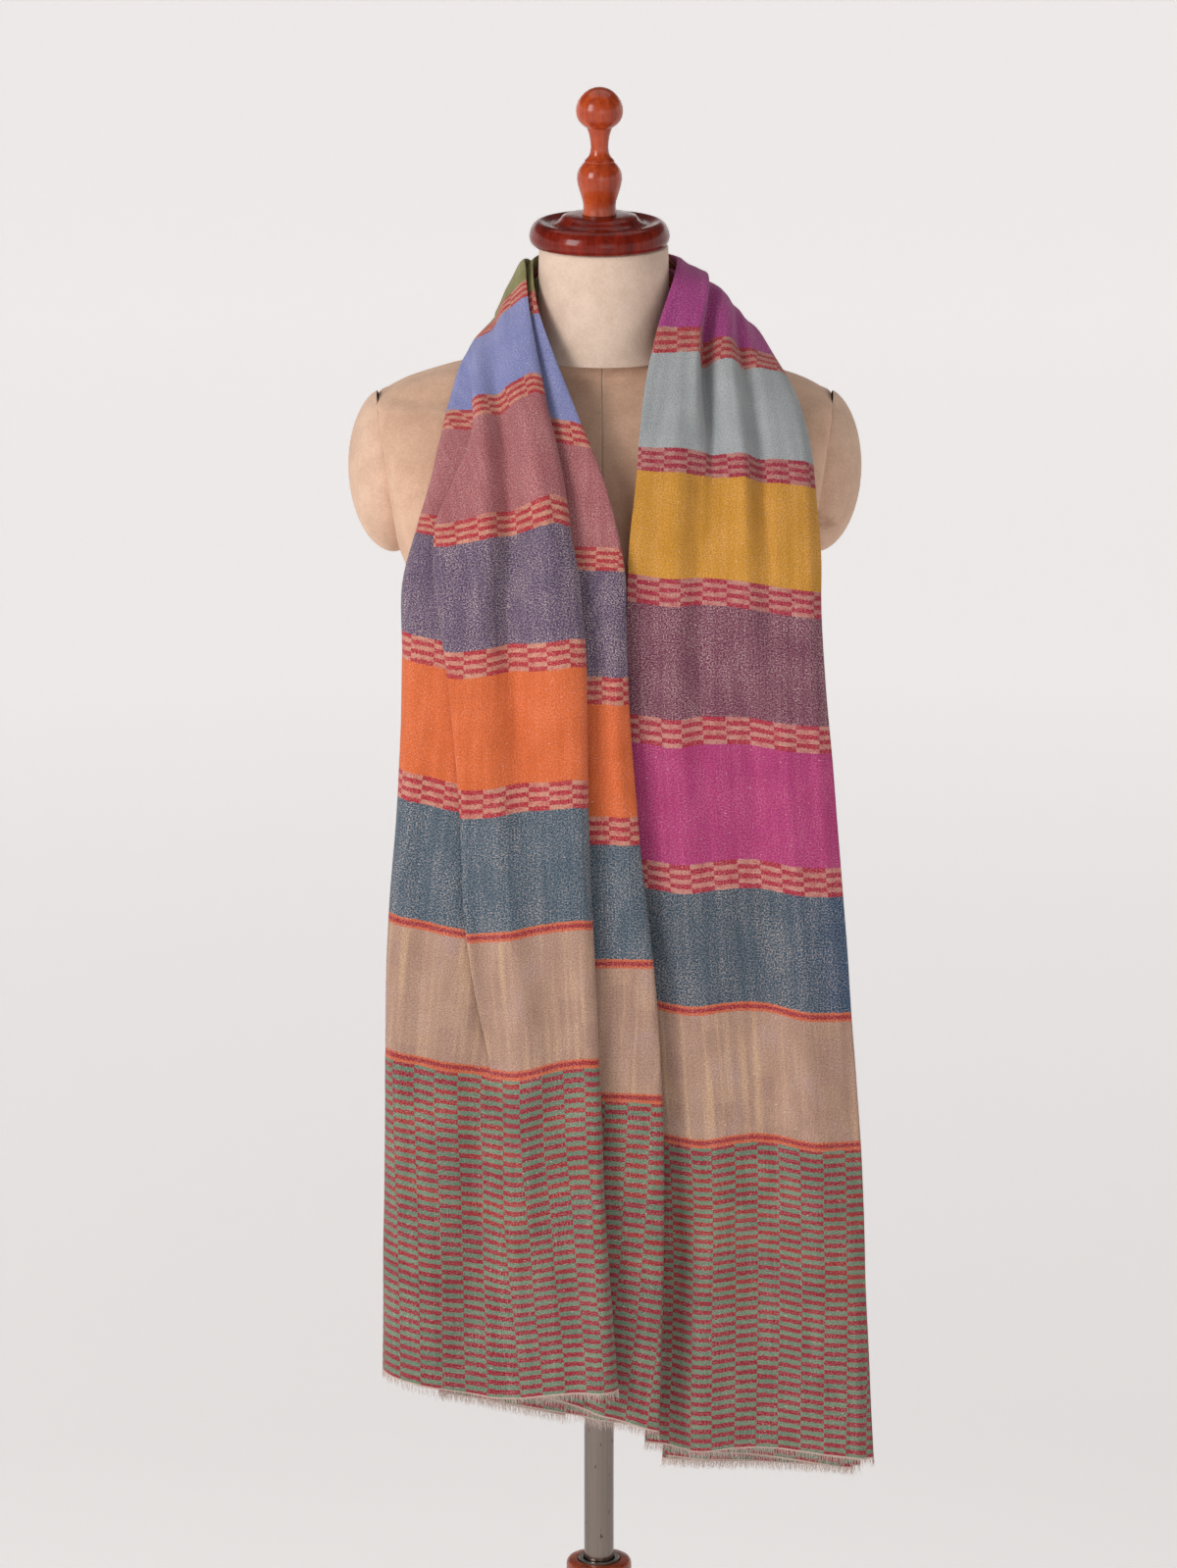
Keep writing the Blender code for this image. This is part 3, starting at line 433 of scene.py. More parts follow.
def hermite(part, span, low, high, slope_low, slope_high):
    """A smooth curve over a span between two values, given its slopes at the two."""
    two, three = part * part, part * part * part
    return (
        (2.0 * three - 3.0 * two + 1.0) * low + (three - 2.0 * two + part) * span * slope_low
        + (3.0 * two - 2.0 * three) * high + (three - two) * span * slope_high)


def glide(places, values, at):
    """Values on a smooth curve through the ones that are given at some places."""
    slopes = np.gradient(values, places)
    index = np.clip(np.searchsorted(places, at, side="right") - 1, 0, len(places) - 2)
    span = places[index + 1] - places[index]
    part = (at - places[index]) / span
    return hermite(part, span, values[index], values[index + 1], slopes[index], slopes[index + 1])


def row_at(rows, along):
    """A table's row at a way along the cloth, on a smooth curve through the given rows."""
    table = np.array(rows)
    places = table[:, 0]
    slopes = np.gradient(table, places, axis=0)
    slopes[-1, (2, 3, 5, 6, 7)] = 0.0
    index = int(np.clip(np.searchsorted(places, along) - 1, 0, len(places) - 2))
    span = places[index + 1] - places[index]
    part = (along - places[index]) / span
    if part < 0.0:
        return table[0] + slopes[0] * (along - places[0])
    return hermite(part, span, table[index], table[index + 1], slopes[index], slopes[index + 1])


def fold_values(folds, shut):
    """Place, layer and lift of every fold, a pleat sliding open before its layers meet."""
    values = np.array([row[1:] for row in folds])
    opened = 1.0 - min(max(shut, 0.0), 1.0)
    sunk = ease((opened - 0.65) / 0.35)
    place = values[:, 0] + (values[:, 1] - values[:, 0]) * opened
    layer = values[:, 2] + (values[:, 3] - values[:, 2]) * sunk
    return place, layer, values[:, 4]


def bundle(side, along):
    """Folds of the bundle on one half, the left folds passing over to the right at the nape."""
    round_neck = 0.5 * max(along - NAPE_START, 0.0) / (NAPE_CENTRE - NAPE_START)
    fade = ease((0.80 - along) / 0.20)
    if side < 0:
        table = np.array(LEFT_PLEAT)
        pleat, front, pleat_lift, front_lift, tuck_lift, shut = (
            float(glide(table[:, 0], table[:, column], max(along, 0.0))) for column in range(1, 7))
        shut = min(max(shut, 0.0), 1.0)
        place, layer, lift = fold_values(LEFT_FOLDS, shut)
        place[3:6] = pleat - 0.09 + 0.24 * shut, pleat, front
        lift = lift * fade
        lift[4:7] = pleat_lift, front_lift, tuck_lift
        far_place, far_layer, _ = fold_values(RIGHT_FOLDS, 1.0)
    else:
        round_neck = 1.0 - round_neck
        place, layer, _ = fold_values(LEFT_FOLDS, 1.0)
        far_place, far_layer, lift = fold_values(
            RIGHT_FOLDS, float(row_at(RIGHT_ROWS, along)[8]))
        lift = lift * fade
    slide = min(max((round_neck - 0.25) / 0.5, 0.0), 1.0)
    sink = ease((round_neck - 0.5) / 0.5)
    place = place + (far_place - place) * slide
    layer = layer + (far_layer - layer) * sink
    return place, layer, lift


def half_path(side):
    """The bundle's outer end, way across, face, width and layer spacing at steps along a half."""
    rows = LEFT_ROWS if side < 0 else RIGHT_ROWS
    steps = np.arange(PATH_START, NAPE_CENTRE + 0.25 * PATH_STEP, PATH_STEP)
    frames = []
    for along in steps:
        row = row_at(rows, along)
        ahead = row_at(rows, along + TRAVEL) if along < NAPE_EDGE else row
        behind = row_at(rows, along - TRAVEL)
        travel = (ahead[1:4] + ahead[4:7]) - (behind[1:4] + behind[4:7])
        across = row[4:7] - row[1:4]
        width = np.linalg.norm(across)
        face = np.cross(across, travel) * (-side)
        frames.append(np.concatenate((
            row[1:4], across / width, face / np.linalg.norm(face), (width, row[7]))))
    return steps, np.array(frames)


PATHS = {side: half_path(side) for side in (-1, 1)}


def frame_at(side, ways):
    """Interpolated frames of one half at an array of ways along the cloth."""
    steps, frames = PATHS[side]
    found = np.stack([np.interp(ways, steps, column) for column in frames.T], axis=1)
    return found[:, 0:3], found[:, 3:6], found[:, 6:9], found[:, 9], found[:, 10]


def smooth_line(points, cuts):
    """A smooth curve through points, each stretch of it cut in the same number of parts."""
    ends = np.vstack((2.0 * points[0] - points[1], points, 2.0 * points[-1] - points[-2]))
    gaps = np.sqrt(np.linalg.norm(np.diff(ends, axis=0), axis=1)) + 1e-6
    first, second, third, fourth = ends[:-3], ends[1:-2], ends[2:-1], ends[3:]
    before, here, after = gaps[:-2, None], gaps[1:-1, None], gaps[2:, None]
    leave = (second - first) / before - (third - first) / (before + here)
    leave = (leave + (third - second) / here) * here
    enter = (third - second) / here - (fourth - second) / (here + after)
    enter = (enter + (fourth - third) / after) * here
    part = (np.arange(cuts) / cuts)[None, :, None]
    fine = hermite(part, 1.0, second[:, None], third[:, None], leave[:, None], enter[:, None])
    return np.vstack((fine.reshape(-1, points.shape[1]), points[-1:]))


def running(lengths):
    """The way gone at every point of a line, from the lengths of its steps."""
    return np.concatenate(((0.0,), np.cumsum(lengths)))


def crease_height(creases, ways, place, width):
    """Sum of the creases at each way along the cloth and place across the bundle."""
    total = np.zeros_like(place)
    for low, high, place_low, place_high, half_low, half_high, height in creases:
        part = np.clip((ways - low) / (high - low), 0.0, 1.0)
        fade = np.sin(np.pi * part) ** 0.8
        centre = place_low + (place_high - place_low) * part
        half = half_low + (half_high - half_low) * part
        reach = (place - centre) * width / half
        total += height * fade * np.exp(-reach * reach)
    return total


def spread_at(table, along, place):
    """How far the layers spread forward at places across the bundle."""
    values = np.array(table)
    sizes = [np.interp(along, values[:, 0], values[:, column]) for column in (1, 2, 3)]
    return np.interp(place, (0.0, 0.18, 0.72, 1.0), (sizes[0], sizes[1], sizes[1], sizes[2]))


def front_stand(side, along, spot, fronts, width, depth, gap):
    """How far the front layer stands forward, less what it rolls back next to its folds."""
    nearest = np.clip(1.0 - depth / (FRONT_LAYER * gap), 0.0, 1.0)
    table = np.array(LEFT_STAND if side < 0 else RIGHT_ROLL)
    first, second = (float(np.interp(along, table[:, 0], table[:, k])) for k in (1, 2))
    if side < 0:
        low, high = fronts
        rise = first * np.clip((spot - low) / (high - low), 0.0, 1.0) ** 1.3
        away = np.clip(1.0 - (high - spot) / ROLL_WIDTH, 0.0, 1.0)
        aside = np.clip(1.0 - spot / OUTER_ROLL_WIDTH, 0.0, 1.0)
        return nearest * (rise - second * away * away) - OUTER_ROLL * second * aside * aside
    outer = np.clip(1.0 - spot / ROLL_WIDTH, 0.0, 1.0)
    inner = np.clip(1.0 - (width - spot) / INNER_ROLL_WIDTH, 0.0, 1.0)
    return -nearest * (first * outer * outer + second * inner * inner)


def flat_row(spot, depth):
    """A folded row laid flat, as places across and depths, and where in it the folds turn."""
    flat = [(spot[0], depth[0])]
    for index in range(1, len(spot)):
        before = float(np.clip((spot[index] - spot[index - 1]) / FOLD_TURN, -1.0, 1.0))
        rise = depth[index] - depth[index - 1]
        reach = max(FOLD_REACH, 0.5 * abs(rise))
        enter = depth[index - 1] + 0.3 * (1.0 - abs(before)) * rise
        start, end = flat[-1], (spot[index] - before * reach, enter)
        if index == len(spot) - 1:
            end = (spot[-1], depth[-2])
        for part in (1.0 / 3.0, 2.0 / 3.0):
            flat.append(tuple(a + (b - a) * part for a, b in zip(start, end)))
        flat.append(end)
        if index < len(spot) - 1:
            after = float(np.clip((spot[index + 1] - spot[index]) / FOLD_TURN, -1.0, 1.0))
            leave = depth[index] - 0.3 * (1.0 - abs(after)) * rise
            flat.append((spot[index], 0.5 * (depth[index - 1] + depth[index])))
            flat.append((spot[index] + after * reach, leave))
    fine = smooth_line(np.array(flat), FOLD_CUTS)
    # Every fold but the last adds five points to the flat line, and turns at their fourth.
    turns = [FOLD_CUTS * (5 * index - 1) for index in range(1, len(spot) - 1)]
    return fine, [0] + turns + [len(fine) - 1]


def weft_row(side, along, count):
    """Points of one weft row of the draped cloth, with the metres across it from a front fold.

    The row is laid flat first, then lifted along the cloth, creased and set on the half's
    frames. Its points are shared out evenly, and more closely where it bends.
    """
    _, _, _, (width,), (gap,) = frame_at(side, (along,))
    place, layer, lift = bundle(side, along)
    spot = place * width
    fine, turns = flat_row(spot, layer * gap)
    gone = running(np.linalg.norm(np.diff(fine, axis=0), axis=1))
    raised = 0.5 * np.interp(gone, gone[turns], lift)
    for shift in (-LIFT_REACH, LIFT_REACH):
        raised += 0.25 * np.interp(gone + shift, gone[turns], lift)
    share = fine[:, 0] / width
    outer, across, face, widths, _ = frame_at(side, along + raised)
    creases = LEFT_CREASES if side < 0 else RIGHT_CREASES
    spreads = LEFT_SPREAD if side < 0 else RIGHT_SPREAD
    out = crease_height(creases, along + raised, share, width)
    fade = np.clip(1.0 - fine[:, 1] / (REAR_LAYER * gap), 0.0, 1.0)
    out = np.where(out < 0.0, out * fade, out)
    out += spread_at(spreads, along, share) * fade
    out += front_stand(side, along, fine[:, 0], (spot[4], spot[5]), width, fine[:, 1], gap)
    line = outer + across * (share * widths)[:, None] + face * (out - fine[:, 1])[:, None]
    steps = np.diff(line, axis=0)
    lengths = np.linalg.norm(steps, axis=1) + 1e-9
    heads = steps / lengths[:, None]
    bends = np.zeros(len(line))
    bends[1:-1] = np.arccos(np.clip((heads[1:] * heads[:-1]).sum(axis=1), -1.0, 1.0))
    measure = running(lengths + BEND_WEIGHT * 0.5 * (bends[1:] + bends[:-1]))
    arc = running(lengths)
    arc = arc - arc[turns[COUNTED_FOLD]]
    if side < 0:
        table = np.array(LEFT_BETWEEN)
        slip = -float(np.interp(along, table[:, 0], table[:, 1])) - arc[turns[2]]
        arc = arc + np.interp(arc, (arc[turns[3]], arc[turns[4]]), (slip, 0.0))
    wanted = np.linspace(0.0, measure[-1], count)
    points = np.stack([np.interp(wanted, measure, line[:, axis]) for axis in range(3)], axis=1)
    points[:, 2] += EYE
    return points, np.interp(wanted, measure, arc)


def mesh_object(name, verts, faces):
    mesh = bpy.data.meshes.new(name)
    mesh.from_pydata([tuple(v) for v in verts], [], faces)
    mesh.update()
    mesh.polygons.foreach_set("use_smooth", [True] * len(mesh.polygons))
    item = bpy.data.objects.new(name, mesh)
    bpy.context.scene.collection.objects.link(item)
    return item


def ring_object(name, loops):
    """A body walked loop by loop, every loop closed."""
    return mesh_object(name, np.vstack(loops), grid_faces(len(loops), len(loops[0]), True))


def drawn_in(loops):
    """The loops, the last one drawn in to its centre."""
    for size in (0.5, 0.0):
        centre = loops[-1].mean(axis=0)
        loops.append(centre + (loops[-1] - centre) * size)
    return loops


def grid_faces(rows, columns, wrap=False):
    faces = []
    last = columns if wrap else columns - 1
    for level in range(rows - 1):
        low, high = level * columns, (level + 1) * columns
        for index in range(last):
            after = (index + 1) % columns
            faces.append((low + index, low + after, high + after, high + index))
    return faces


def stations():
    """The ways along the cloth of the mesh's weft rows: wide apart where it hangs straight."""
    steps = list(np.arange(0.0, STRAIGHT_END, STRAIGHT_STEP))
    steps += list(np.arange(STRAIGHT_END, NAPE_EDGE, CURVED_STEP))
    return [(-1, a) for a in steps] + [(-1, NAPE_CENTRE)] + [(1, a) for a in reversed(steps)]


def wrinkles(across, along):
    """Shallow unevenness of soft cloth, in metres, from a few long waves that never repeat."""
    waves = (
        (38.0, 7.0, 0.00022, 0.4), (61.0, -11.0, 0.00018, 1.9), (95.0, 17.0, 0.00013, 3.1),
        (23.0, -29.0, 0.00016, 5.2), (142.0, 31.0, 0.00009, 0.9), (71.0, 53.0, 0.00009, 2.7),
        (17.0, 83.0, 0.00007, 4.0), (187.0, -43.0, 0.00006, 1.3),
    )
    total = np.zeros_like(across)
    for by_across, by_along, size, phase in waves:
        bend = 0.7 * np.sin(9.0 * along + phase) + 0.5 * np.sin(6.0 * across - phase)
        total += size * np.sin(by_across * across + by_along * along + phase + bend)
    return total


def make_shawl(columns):
    """The draped cloth as one sheet, and its points; its map says where each was woven."""
    places = stations()
    lead = np.array(PATTERN_LEAD)
    points, widths, ways = [], [], []
    for side, along in places:
        row, width = weft_row(side, along, columns)
        points.append(row)
        widths.append(COLUMN_START + width)
        shown = along + np.interp(along, lead[:, 0], lead[:, 1 if side < 0 else 2])
        ways.append(np.full(columns, shown if side < 0 else CLOTH_LENGTH - shown))
    points, widths, ways = np.array(points), np.array(widths), np.array(ways)
    across = np.gradient(points, axis=1)
    down = np.gradient(points, axis=0)
    normal = np.cross(across, down)
    normal = normal / (np.linalg.norm(normal, axis=2)[:, :, None] + 1e-12)
    points = points + normal * wrinkles(widths, ways)[:, :, None]
    item = mesh_object("shawl", points.reshape(-1, 3), grid_faces(len(places), columns))
    layer = item.data.uv_layers.new(name="weave")
    corner = np.empty(len(item.data.loops), dtype=np.int64)
    item.data.loops.foreach_get("vertex_index", corner)
    coords = np.stack((widths.reshape(-1), ways.reshape(-1)), axis=1)
    layer.data.foreach_set("uv", coords[corner].astype(np.float32).reshape(-1))
    return item, points


class Net:
    """Short ways to lay shader nodes."""

    def __init__(self, name):
        self.material = bpy.data.materials.new(name)
        self.material.use_nodes = True
        self.tree = self.material.node_tree
        self.shader = self.tree.nodes["Principled BSDF"]

    def link(self, value, socket):
        if isinstance(value, bpy.types.NodeSocket):
            self.tree.links.new(value, socket)
        else:
            socket.default_value = value

    def math(self, operation, first, second=0.0, third=0.0, clamp=False):
        node = self.tree.nodes.new("ShaderNodeMath")
        node.operation = operation
        node.use_clamp = clamp
        for index, value in enumerate((first, second, third)):
            self.link(value, node.inputs[index])
        return node.outputs[0]

    def plus(self, first, second):
        return self.math("ADD", first, second)

    def minus(self, first, second):
        return self.math("SUBTRACT", first, second)

    def times(self, first, second):
        return self.math("MULTIPLY", first, second)

    def over(self, first, second):
        return self.math("DIVIDE", first, second)

    def above(self, value, limit):
        return self.math("GREATER_THAN", value, limit)

    def below(self, value, limit):
        return self.math("LESS_THAN", value, limit)

    def swing(self, value, size):
        """A value from 0 to 1, as one to either side of zero."""
        return self.math("MULTIPLY_ADD", value, size, -0.5 * size)

    def steps(self, value, size):
        """The number of whole steps of a size in a value."""
        return self.math("FLOOR", self.over(value, size))

    def blend(self, *parts):
        """The sum of values, each of them times its share."""
        shares = [self.times(value, share) for value, share in parts]
        total = shares.pop()
        while shares:
            total = self.plus(shares.pop(), total)
        return total

    def mix(self, factor, first, second, blend="MIX"):
        node = self.tree.nodes.new("ShaderNodeMix")
        node.data_type = "RGBA"
        node.blend_type = blend
        self.link(factor, node.inputs["Factor"])
        self.link(first, [i for i in node.inputs if i.name == "A" and i.type == "RGBA"][0])
        self.link(second, [i for i in node.inputs if i.name == "B" and i.type == "RGBA"][0])
        return [o for o in node.outputs if o.type == "RGBA"][0]

    def spot(self, x, y, z=0.0):
        node = self.tree.nodes.new("ShaderNodeCombineXYZ")
        for index, value in enumerate((x, y, z)):
            self.link(value, node.inputs[index])
        return node.outputs[0]

    def scaled(self, x, y, by_x, by_y, z=0.0):
        return self.spot(self.times(x, by_x), self.times(y, by_y), z)

    def noise(self, vector, scale=1.0, detail=2.0, rough=0.5, twist=0.0):
        node = self.tree.nodes.new("ShaderNodeTexNoise")
        self.link(vector, node.inputs["Vector"])
        node.inputs["Scale"].default_value = scale
        node.inputs["Detail"].default_value = detail
        node.inputs["Roughness"].default_value = rough
        node.inputs["Distortion"].default_value = twist
        return node.outputs["Fac"]

    def between(self, value, low, high, to_low=0.0, to_high=1.0):
        node = self.tree.nodes.new("ShaderNodeMapRange")
        node.interpolation_type = "SMOOTHSTEP"
        self.link(value, node.inputs["Value"])
        for name, size in (
            ("From Min", low), ("From Max", high), ("To Min", to_low), ("To Max", to_high),
        ):
            node.inputs[name].default_value = size
        return node.outputs["Result"]

    def ramp(self, factor, stops, kind="LINEAR"):
        node = self.tree.nodes.new("ShaderNodeValToRGB")
        node.color_ramp.interpolation = kind
        elements = node.color_ramp.elements
        while len(elements) > 1:
            elements.remove(elements[-1])
        elements[0].position, elements[0].color = stops[0]
        for position, colour in stops[1:]:
            elements.new(position).color = colour
        self.link(factor, node.inputs["Fac"])
        return node.outputs["Color"]

    def split(self, vector):
        node = self.tree.nodes.new("ShaderNodeSeparateXYZ")
        self.link(vector, node.inputs[0])
        return node.outputs[0], node.outputs[1], node.outputs[2]

    def place(self):
        return self.tree.nodes.new("ShaderNodeTexCoord").outputs["Object"]

    def bump(self, height, distance, strength=1.0, onto=None):
        node = self.tree.nodes.new("ShaderNodeBump")
        node.inputs["Strength"].default_value = strength
        node.inputs["Distance"].default_value = distance
        self.link(height, node.inputs["Height"])
        if onto is not None:
            self.link(onto, node.inputs["Normal"])
        return node.outputs["Normal"]

    def finish(self, **sockets):
        for name, value in sockets.items():
            self.link(value, self.shader.inputs[name.replace("_", " ")])
        return self.material


def weave_material(name):
    """Handloom wool: a chequered border, a plain band, and bands parted by narrow checks."""
    net = Net(name)
    uv = net.tree.nodes.new("ShaderNodeUVMap")
    uv.uv_map = "weave"
    across, straight, _ = net.split(uv.outputs["UV"])
    wander = net.noise(net.scaled(across, straight, 14.0, 5.0), detail=1.0)
    way = net.plus(straight, net.swing(wander, 0.0024))

    def yarns(by_across, by_way, lift=0.0, detail=1.0):
        return net.noise(net.scaled(across, way, by_across, by_way, lift), detail=detail)

    def odd(value):
        return net.above(net.math("FRACT", net.times(value, 0.5)), 0.25)

    def from_ends(value):
        return net.math("MINIMUM", value, net.minus(CLOTH_LENGTH, value))

    jitter = yarns(900.0, 420.0, detail=0.0)
    edge = net.plus(way, net.swing(jitter, 0.0020))
    hem = from_ends(edge)
    column = net.plus(across, net.swing(yarns(60.0, 900.0, detail=0.0), 0.0012))
    column = net.plus(column, net.swing(yarns(22.0, 9.0, 4.0), 0.0050))
    column = net.steps(column, COLUMN_WIDTH)

    # Yarn: a two and two twill, salted by pale warp ends, with painted shade where a yarn dips.
    cloud = yarns(46.0, 30.0, detail=3.0)
    streak = yarns(190.0, 7.0, detail=2.0)
    pick = yarns(9.0, 620.0, 2.0, 2.0)
    slanted = net.plus(net.plus(across, way), net.times(jitter, 0.0007))
    twill = net.math("SINE", net.times(slanted, 2.0 * math.pi / TWILL_STEP))
    cells = net.math("SINE", net.times(net.minus(across, way), 2.0 * math.pi / CELL_STEP))
    dots = net.math("MULTIPLY_ADD", net.times(twill, cells), 0.50, 0.5)
    dots = net.plus(dots, net.times(twill, 0.12))
    dots = net.plus(dots, net.swing(yarns(840.0, 960.0), 3.5))

    # The bands of the middle and the narrow checks between them.
    step = net.over(net.minus(edge, PLAIN_END), BAND_STEP)
    number = net.math("FLOOR", step)
    part = net.minus(step, number)
    in_check = net.above(part, BAND_SHARE)
    at = net.over(net.plus(number, 0.5), float(BANDS))
    band = net.ramp(at, [(i / BANDS, c) for i, c in enumerate(BAND_COLOURS)], "CONSTANT")
    greyer = net.times(net.between(across, 0.24, 0.34), net.above(number, BANDS - 1.5))
    band = net.mix(greyer, band, srgb(64, 86, 102))
    deeper = net.mix(1.0, band, (0.50, 0.44, 0.62, 1.0), "MULTIPLY")
    band = net.mix(net.between(pick, 0.58, 0.80, 0.0, 0.34), band, deeper)
    rows = net.math("FLOOR", net.times(
        net.minus(part, BAND_SHARE), CHECK_ROWS / (1.0 - BAND_SHARE)))
    reds = net.ramp(at, (
        (0.0, srgb(178, 40, 56)), (0.55, srgb(186, 44, 52)), (0.62, srgb(160, 34, 62)),
        (0.80, srgb(174, 36, 62)), (1.0, srgb(168, 38, 60))))
    pales = net.ramp(at, (
        (0.0, srgb(204, 142, 122)), (0.50, srgb(210, 152, 124)), (0.62, srgb(182, 126, 118)),
        (0.85, srgb(202, 140, 128)), (1.0, srgb(190, 130, 116))))
    pales = net.mix(net.between(yarns(150.0, 300.0, 6.0), 0.35, 0.75, 0.0, 0.55), pales, reds)
    check = net.mix(odd(net.plus(rows, column)), reds, pales)
    middle = net.mix(in_check, band, check)

    # The plain band with its faint satin squares, and the lines on either side of it.
    square = net.spot(net.times(column, 7.31), net.steps(hem, SQUARE_STEP), 0.5)
    cell = net.noise(square, scale=3.7, detail=0.0)
    plain = net.mix(net.between(cell, 0.35, 0.65, 0.0, 0.45), srgb(174, 138, 120),
                    srgb(192, 156, 130))
    plain = net.mix(net.between(streak, 0.48, 0.74, 0.0, 0.55), plain, srgb(212, 174, 134))
    plain = net.mix(net.between(cloud, 0.50, 0.74, 0.0, 0.40), plain, srgb(170, 140, 136))
    into_low = net.minus(hem, BORDER_END)
    into_high = net.minus(PLAIN_END, hem)

    def from_lines(low, high):
        """The distance from the nearer line, each one's middle a share of its width inwards."""
        return net.math("MINIMUM", *(
            net.math("ABSOLUTE", net.minus(into, LINE_WIDTH * share))
            for into, share in ((into_low, low), (into_high, high))))

    line = net.mix(
        net.between(from_lines(0.56, 0.50), LINE_WIDTH * 0.15, LINE_WIDTH * 0.28, 1.0, 0.0),
        srgb(206, 100, 64), srgb(162, 42, 50))
    in_line = net.between(
        from_lines(0.50, 0.50), LINE_WIDTH * 0.42, LINE_WIDTH * 0.56, 1.0, 0.0)

    # The border's rows of green and red.
    border_row = net.steps(hem, BORDER_ROW)
    tint = net.noise(net.scaled(border_row, across, 0.37, 26.0, 2.5), detail=1.0)
    warm = net.times(net.between(hem, 0.060, 0.150), net.between(tint, 0.40, 0.62))
    red = net.mix(net.times(warm, 0.45), srgb(154, 34, 54), srgb(178, 56, 44))
    green = net.mix(net.between(tint, 0.3, 0.7), srgb(102, 128, 106), srgb(116, 140, 114))
    border = net.mix(odd(net.plus(border_row, column)), red, green)

    weave = net.mix(net.above(hem, BORDER_END), border, plain)
    weave = net.mix(net.above(hem, PLAIN_END), weave, middle)
    weave = net.mix(in_line, weave, line)

    # The banded middle shows more of the pale warp than the border and the plain band.
    solid = net.math("MAXIMUM", net.below(hem, PLAIN_END), in_check)
    rubbed = net.blend((cloud, 0.7), (streak, 0.6))
    by_band = net.ramp(at, [(i / BANDS, (v, v, v, 1.0)) for i, v in enumerate(BAND_SALT)],
                       "CONSTANT")
    share = net.mix(solid, by_band, (0.42, 0.42, 0.42, 1.0))
    salt = net.times(net.between(dots, 0.50, 1.05, 0.0, 0.90), share)
    salt = net.math(
        "MULTIPLY", salt, net.between(rubbed, 0.40, 0.90, 0.45, 1.25), clamp=True)
    colour = net.mix(salt, weave, net.mix(0.22, srgb(206, 188, 178), weave))
    # Painted shade: the twill's hollows, where a yarn dips, are darkened in the colour.
    sunk = net.times(net.between(dots, 0.50, 0.02, 0.0, 0.74),
                     net.math("MULTIPLY_ADD", share, 0.85, 0.16))
    colour = net.mix(sunk, colour, net.mix(1.0, colour, (0.20, 0.17, 0.22, 1.0), "MULTIPLY"))
    slub = yarns(420.0, 1050.0, 3.0, 0.0)
    colour = net.mix(net.between(slub, 0.80, 0.87, 0.0, 0.8), colour, srgb(224, 212, 202))
    shade = net.plus(net.blend((cloud, 0.34), (streak, 0.26), (pick, 0.10)), 0.65)
    colour = net.mix(1.0, colour, net.spot(shade, shade, shade), "MULTIPLY")
    colour = net.mix(net.below(from_ends(way), HEM_YARN), colour, srgb(198, 174, 162))

    broad = net.bump(yarns(34.0, 20.0, 1.0, 2.0), 0.0030, 0.5)
    normal = net.bump(net.plus(dots, net.times(pick, 0.5)), 0.00030, 0.6, broad)
    return net.finish(
        Base_Color=colour, Roughness=0.86, Normal=normal, Specular_IOR_Level=0.22,
        Sheen_Weight=0.22, Sheen_Roughness=0.45, Sheen_Tint=srgb(255, 244, 236))


def yarn_material(name):
    net = Net(name)
    tone = net.noise(net.place(), scale=900.0, detail=1.0)
    colour = net.ramp(tone, ((0.30, srgb(182, 152, 140)), (0.70, srgb(230, 212, 202))))
    return net.finish(
        Base_Color=colour, Roughness=0.88, Specular_IOR_Level=0.2, Sheen_Weight=0.30)


def suede_material(name, light, dark, seam_x=None, worn=0.0):
    """The form's brushed cover: mottled, a little rubbed, with a closed seam down its front
    painted with a highlight and shade.
    """
    net = Net(name)
    place = net.place()
    x, y, z = net.split(place)
    nap = net.noise(place, scale=620.0, detail=2.0, rough=0.6)
    mottle = net.noise(place, scale=75.0, detail=4.0, rough=0.6)
    cloud = net.noise(place, scale=11.0, detail=3.0)
    mixed = net.blend((mottle, 0.35), (cloud, 0.35), (nap, 0.30))
    colour = net.mix(net.between(mixed, 0.36, 0.64), dark, light)
    normal = net.bump(net.blend((nap, 0.6), (mottle, 0.7)), 0.0005, 0.55)
    if worn > 0.0:
        stain = net.noise(place, scale=26.0, detail=4.0, rough=0.65)
        low = net.between(z, EYE + 0.235, EYE + 0.195)
        marks = net.times(net.times(net.between(stain, 0.50, 0.70), low), worn)
        colour = net.mix(marks, colour, srgb(140, 98, 66))
    if seam_x is not None:
        away = net.math("ABSOLUTE", net.minus(x, seam_x))
        in_front = net.below(y, 0.02)
        groove = net.times(net.between(away, 0.0000, 0.0011, 1.0, 0.0), in_front)
        lit = net.times(net.between(away, 0.0008, 0.0016, 1.0, 0.0), in_front)
        # Painted highlight along the seam's sides, and painted shade in its groove.
        colour = net.mix(net.times(lit, 0.30), colour, srgb(232, 208, 182))
        colour = net.mix(net.times(groove, 0.36), colour, srgb(134, 98, 76))
        normal = net.bump(net.times(groove, -1.0), 0.0006, 1.0, normal)
    return net.finish(
        Base_Color=colour, Roughness=0.80, Normal=normal, Specular_IOR_Level=0.25,
        Sheen_Weight=0.25, Sheen_Roughness=0.5, Sheen_Tint=srgb(255, 238, 220))


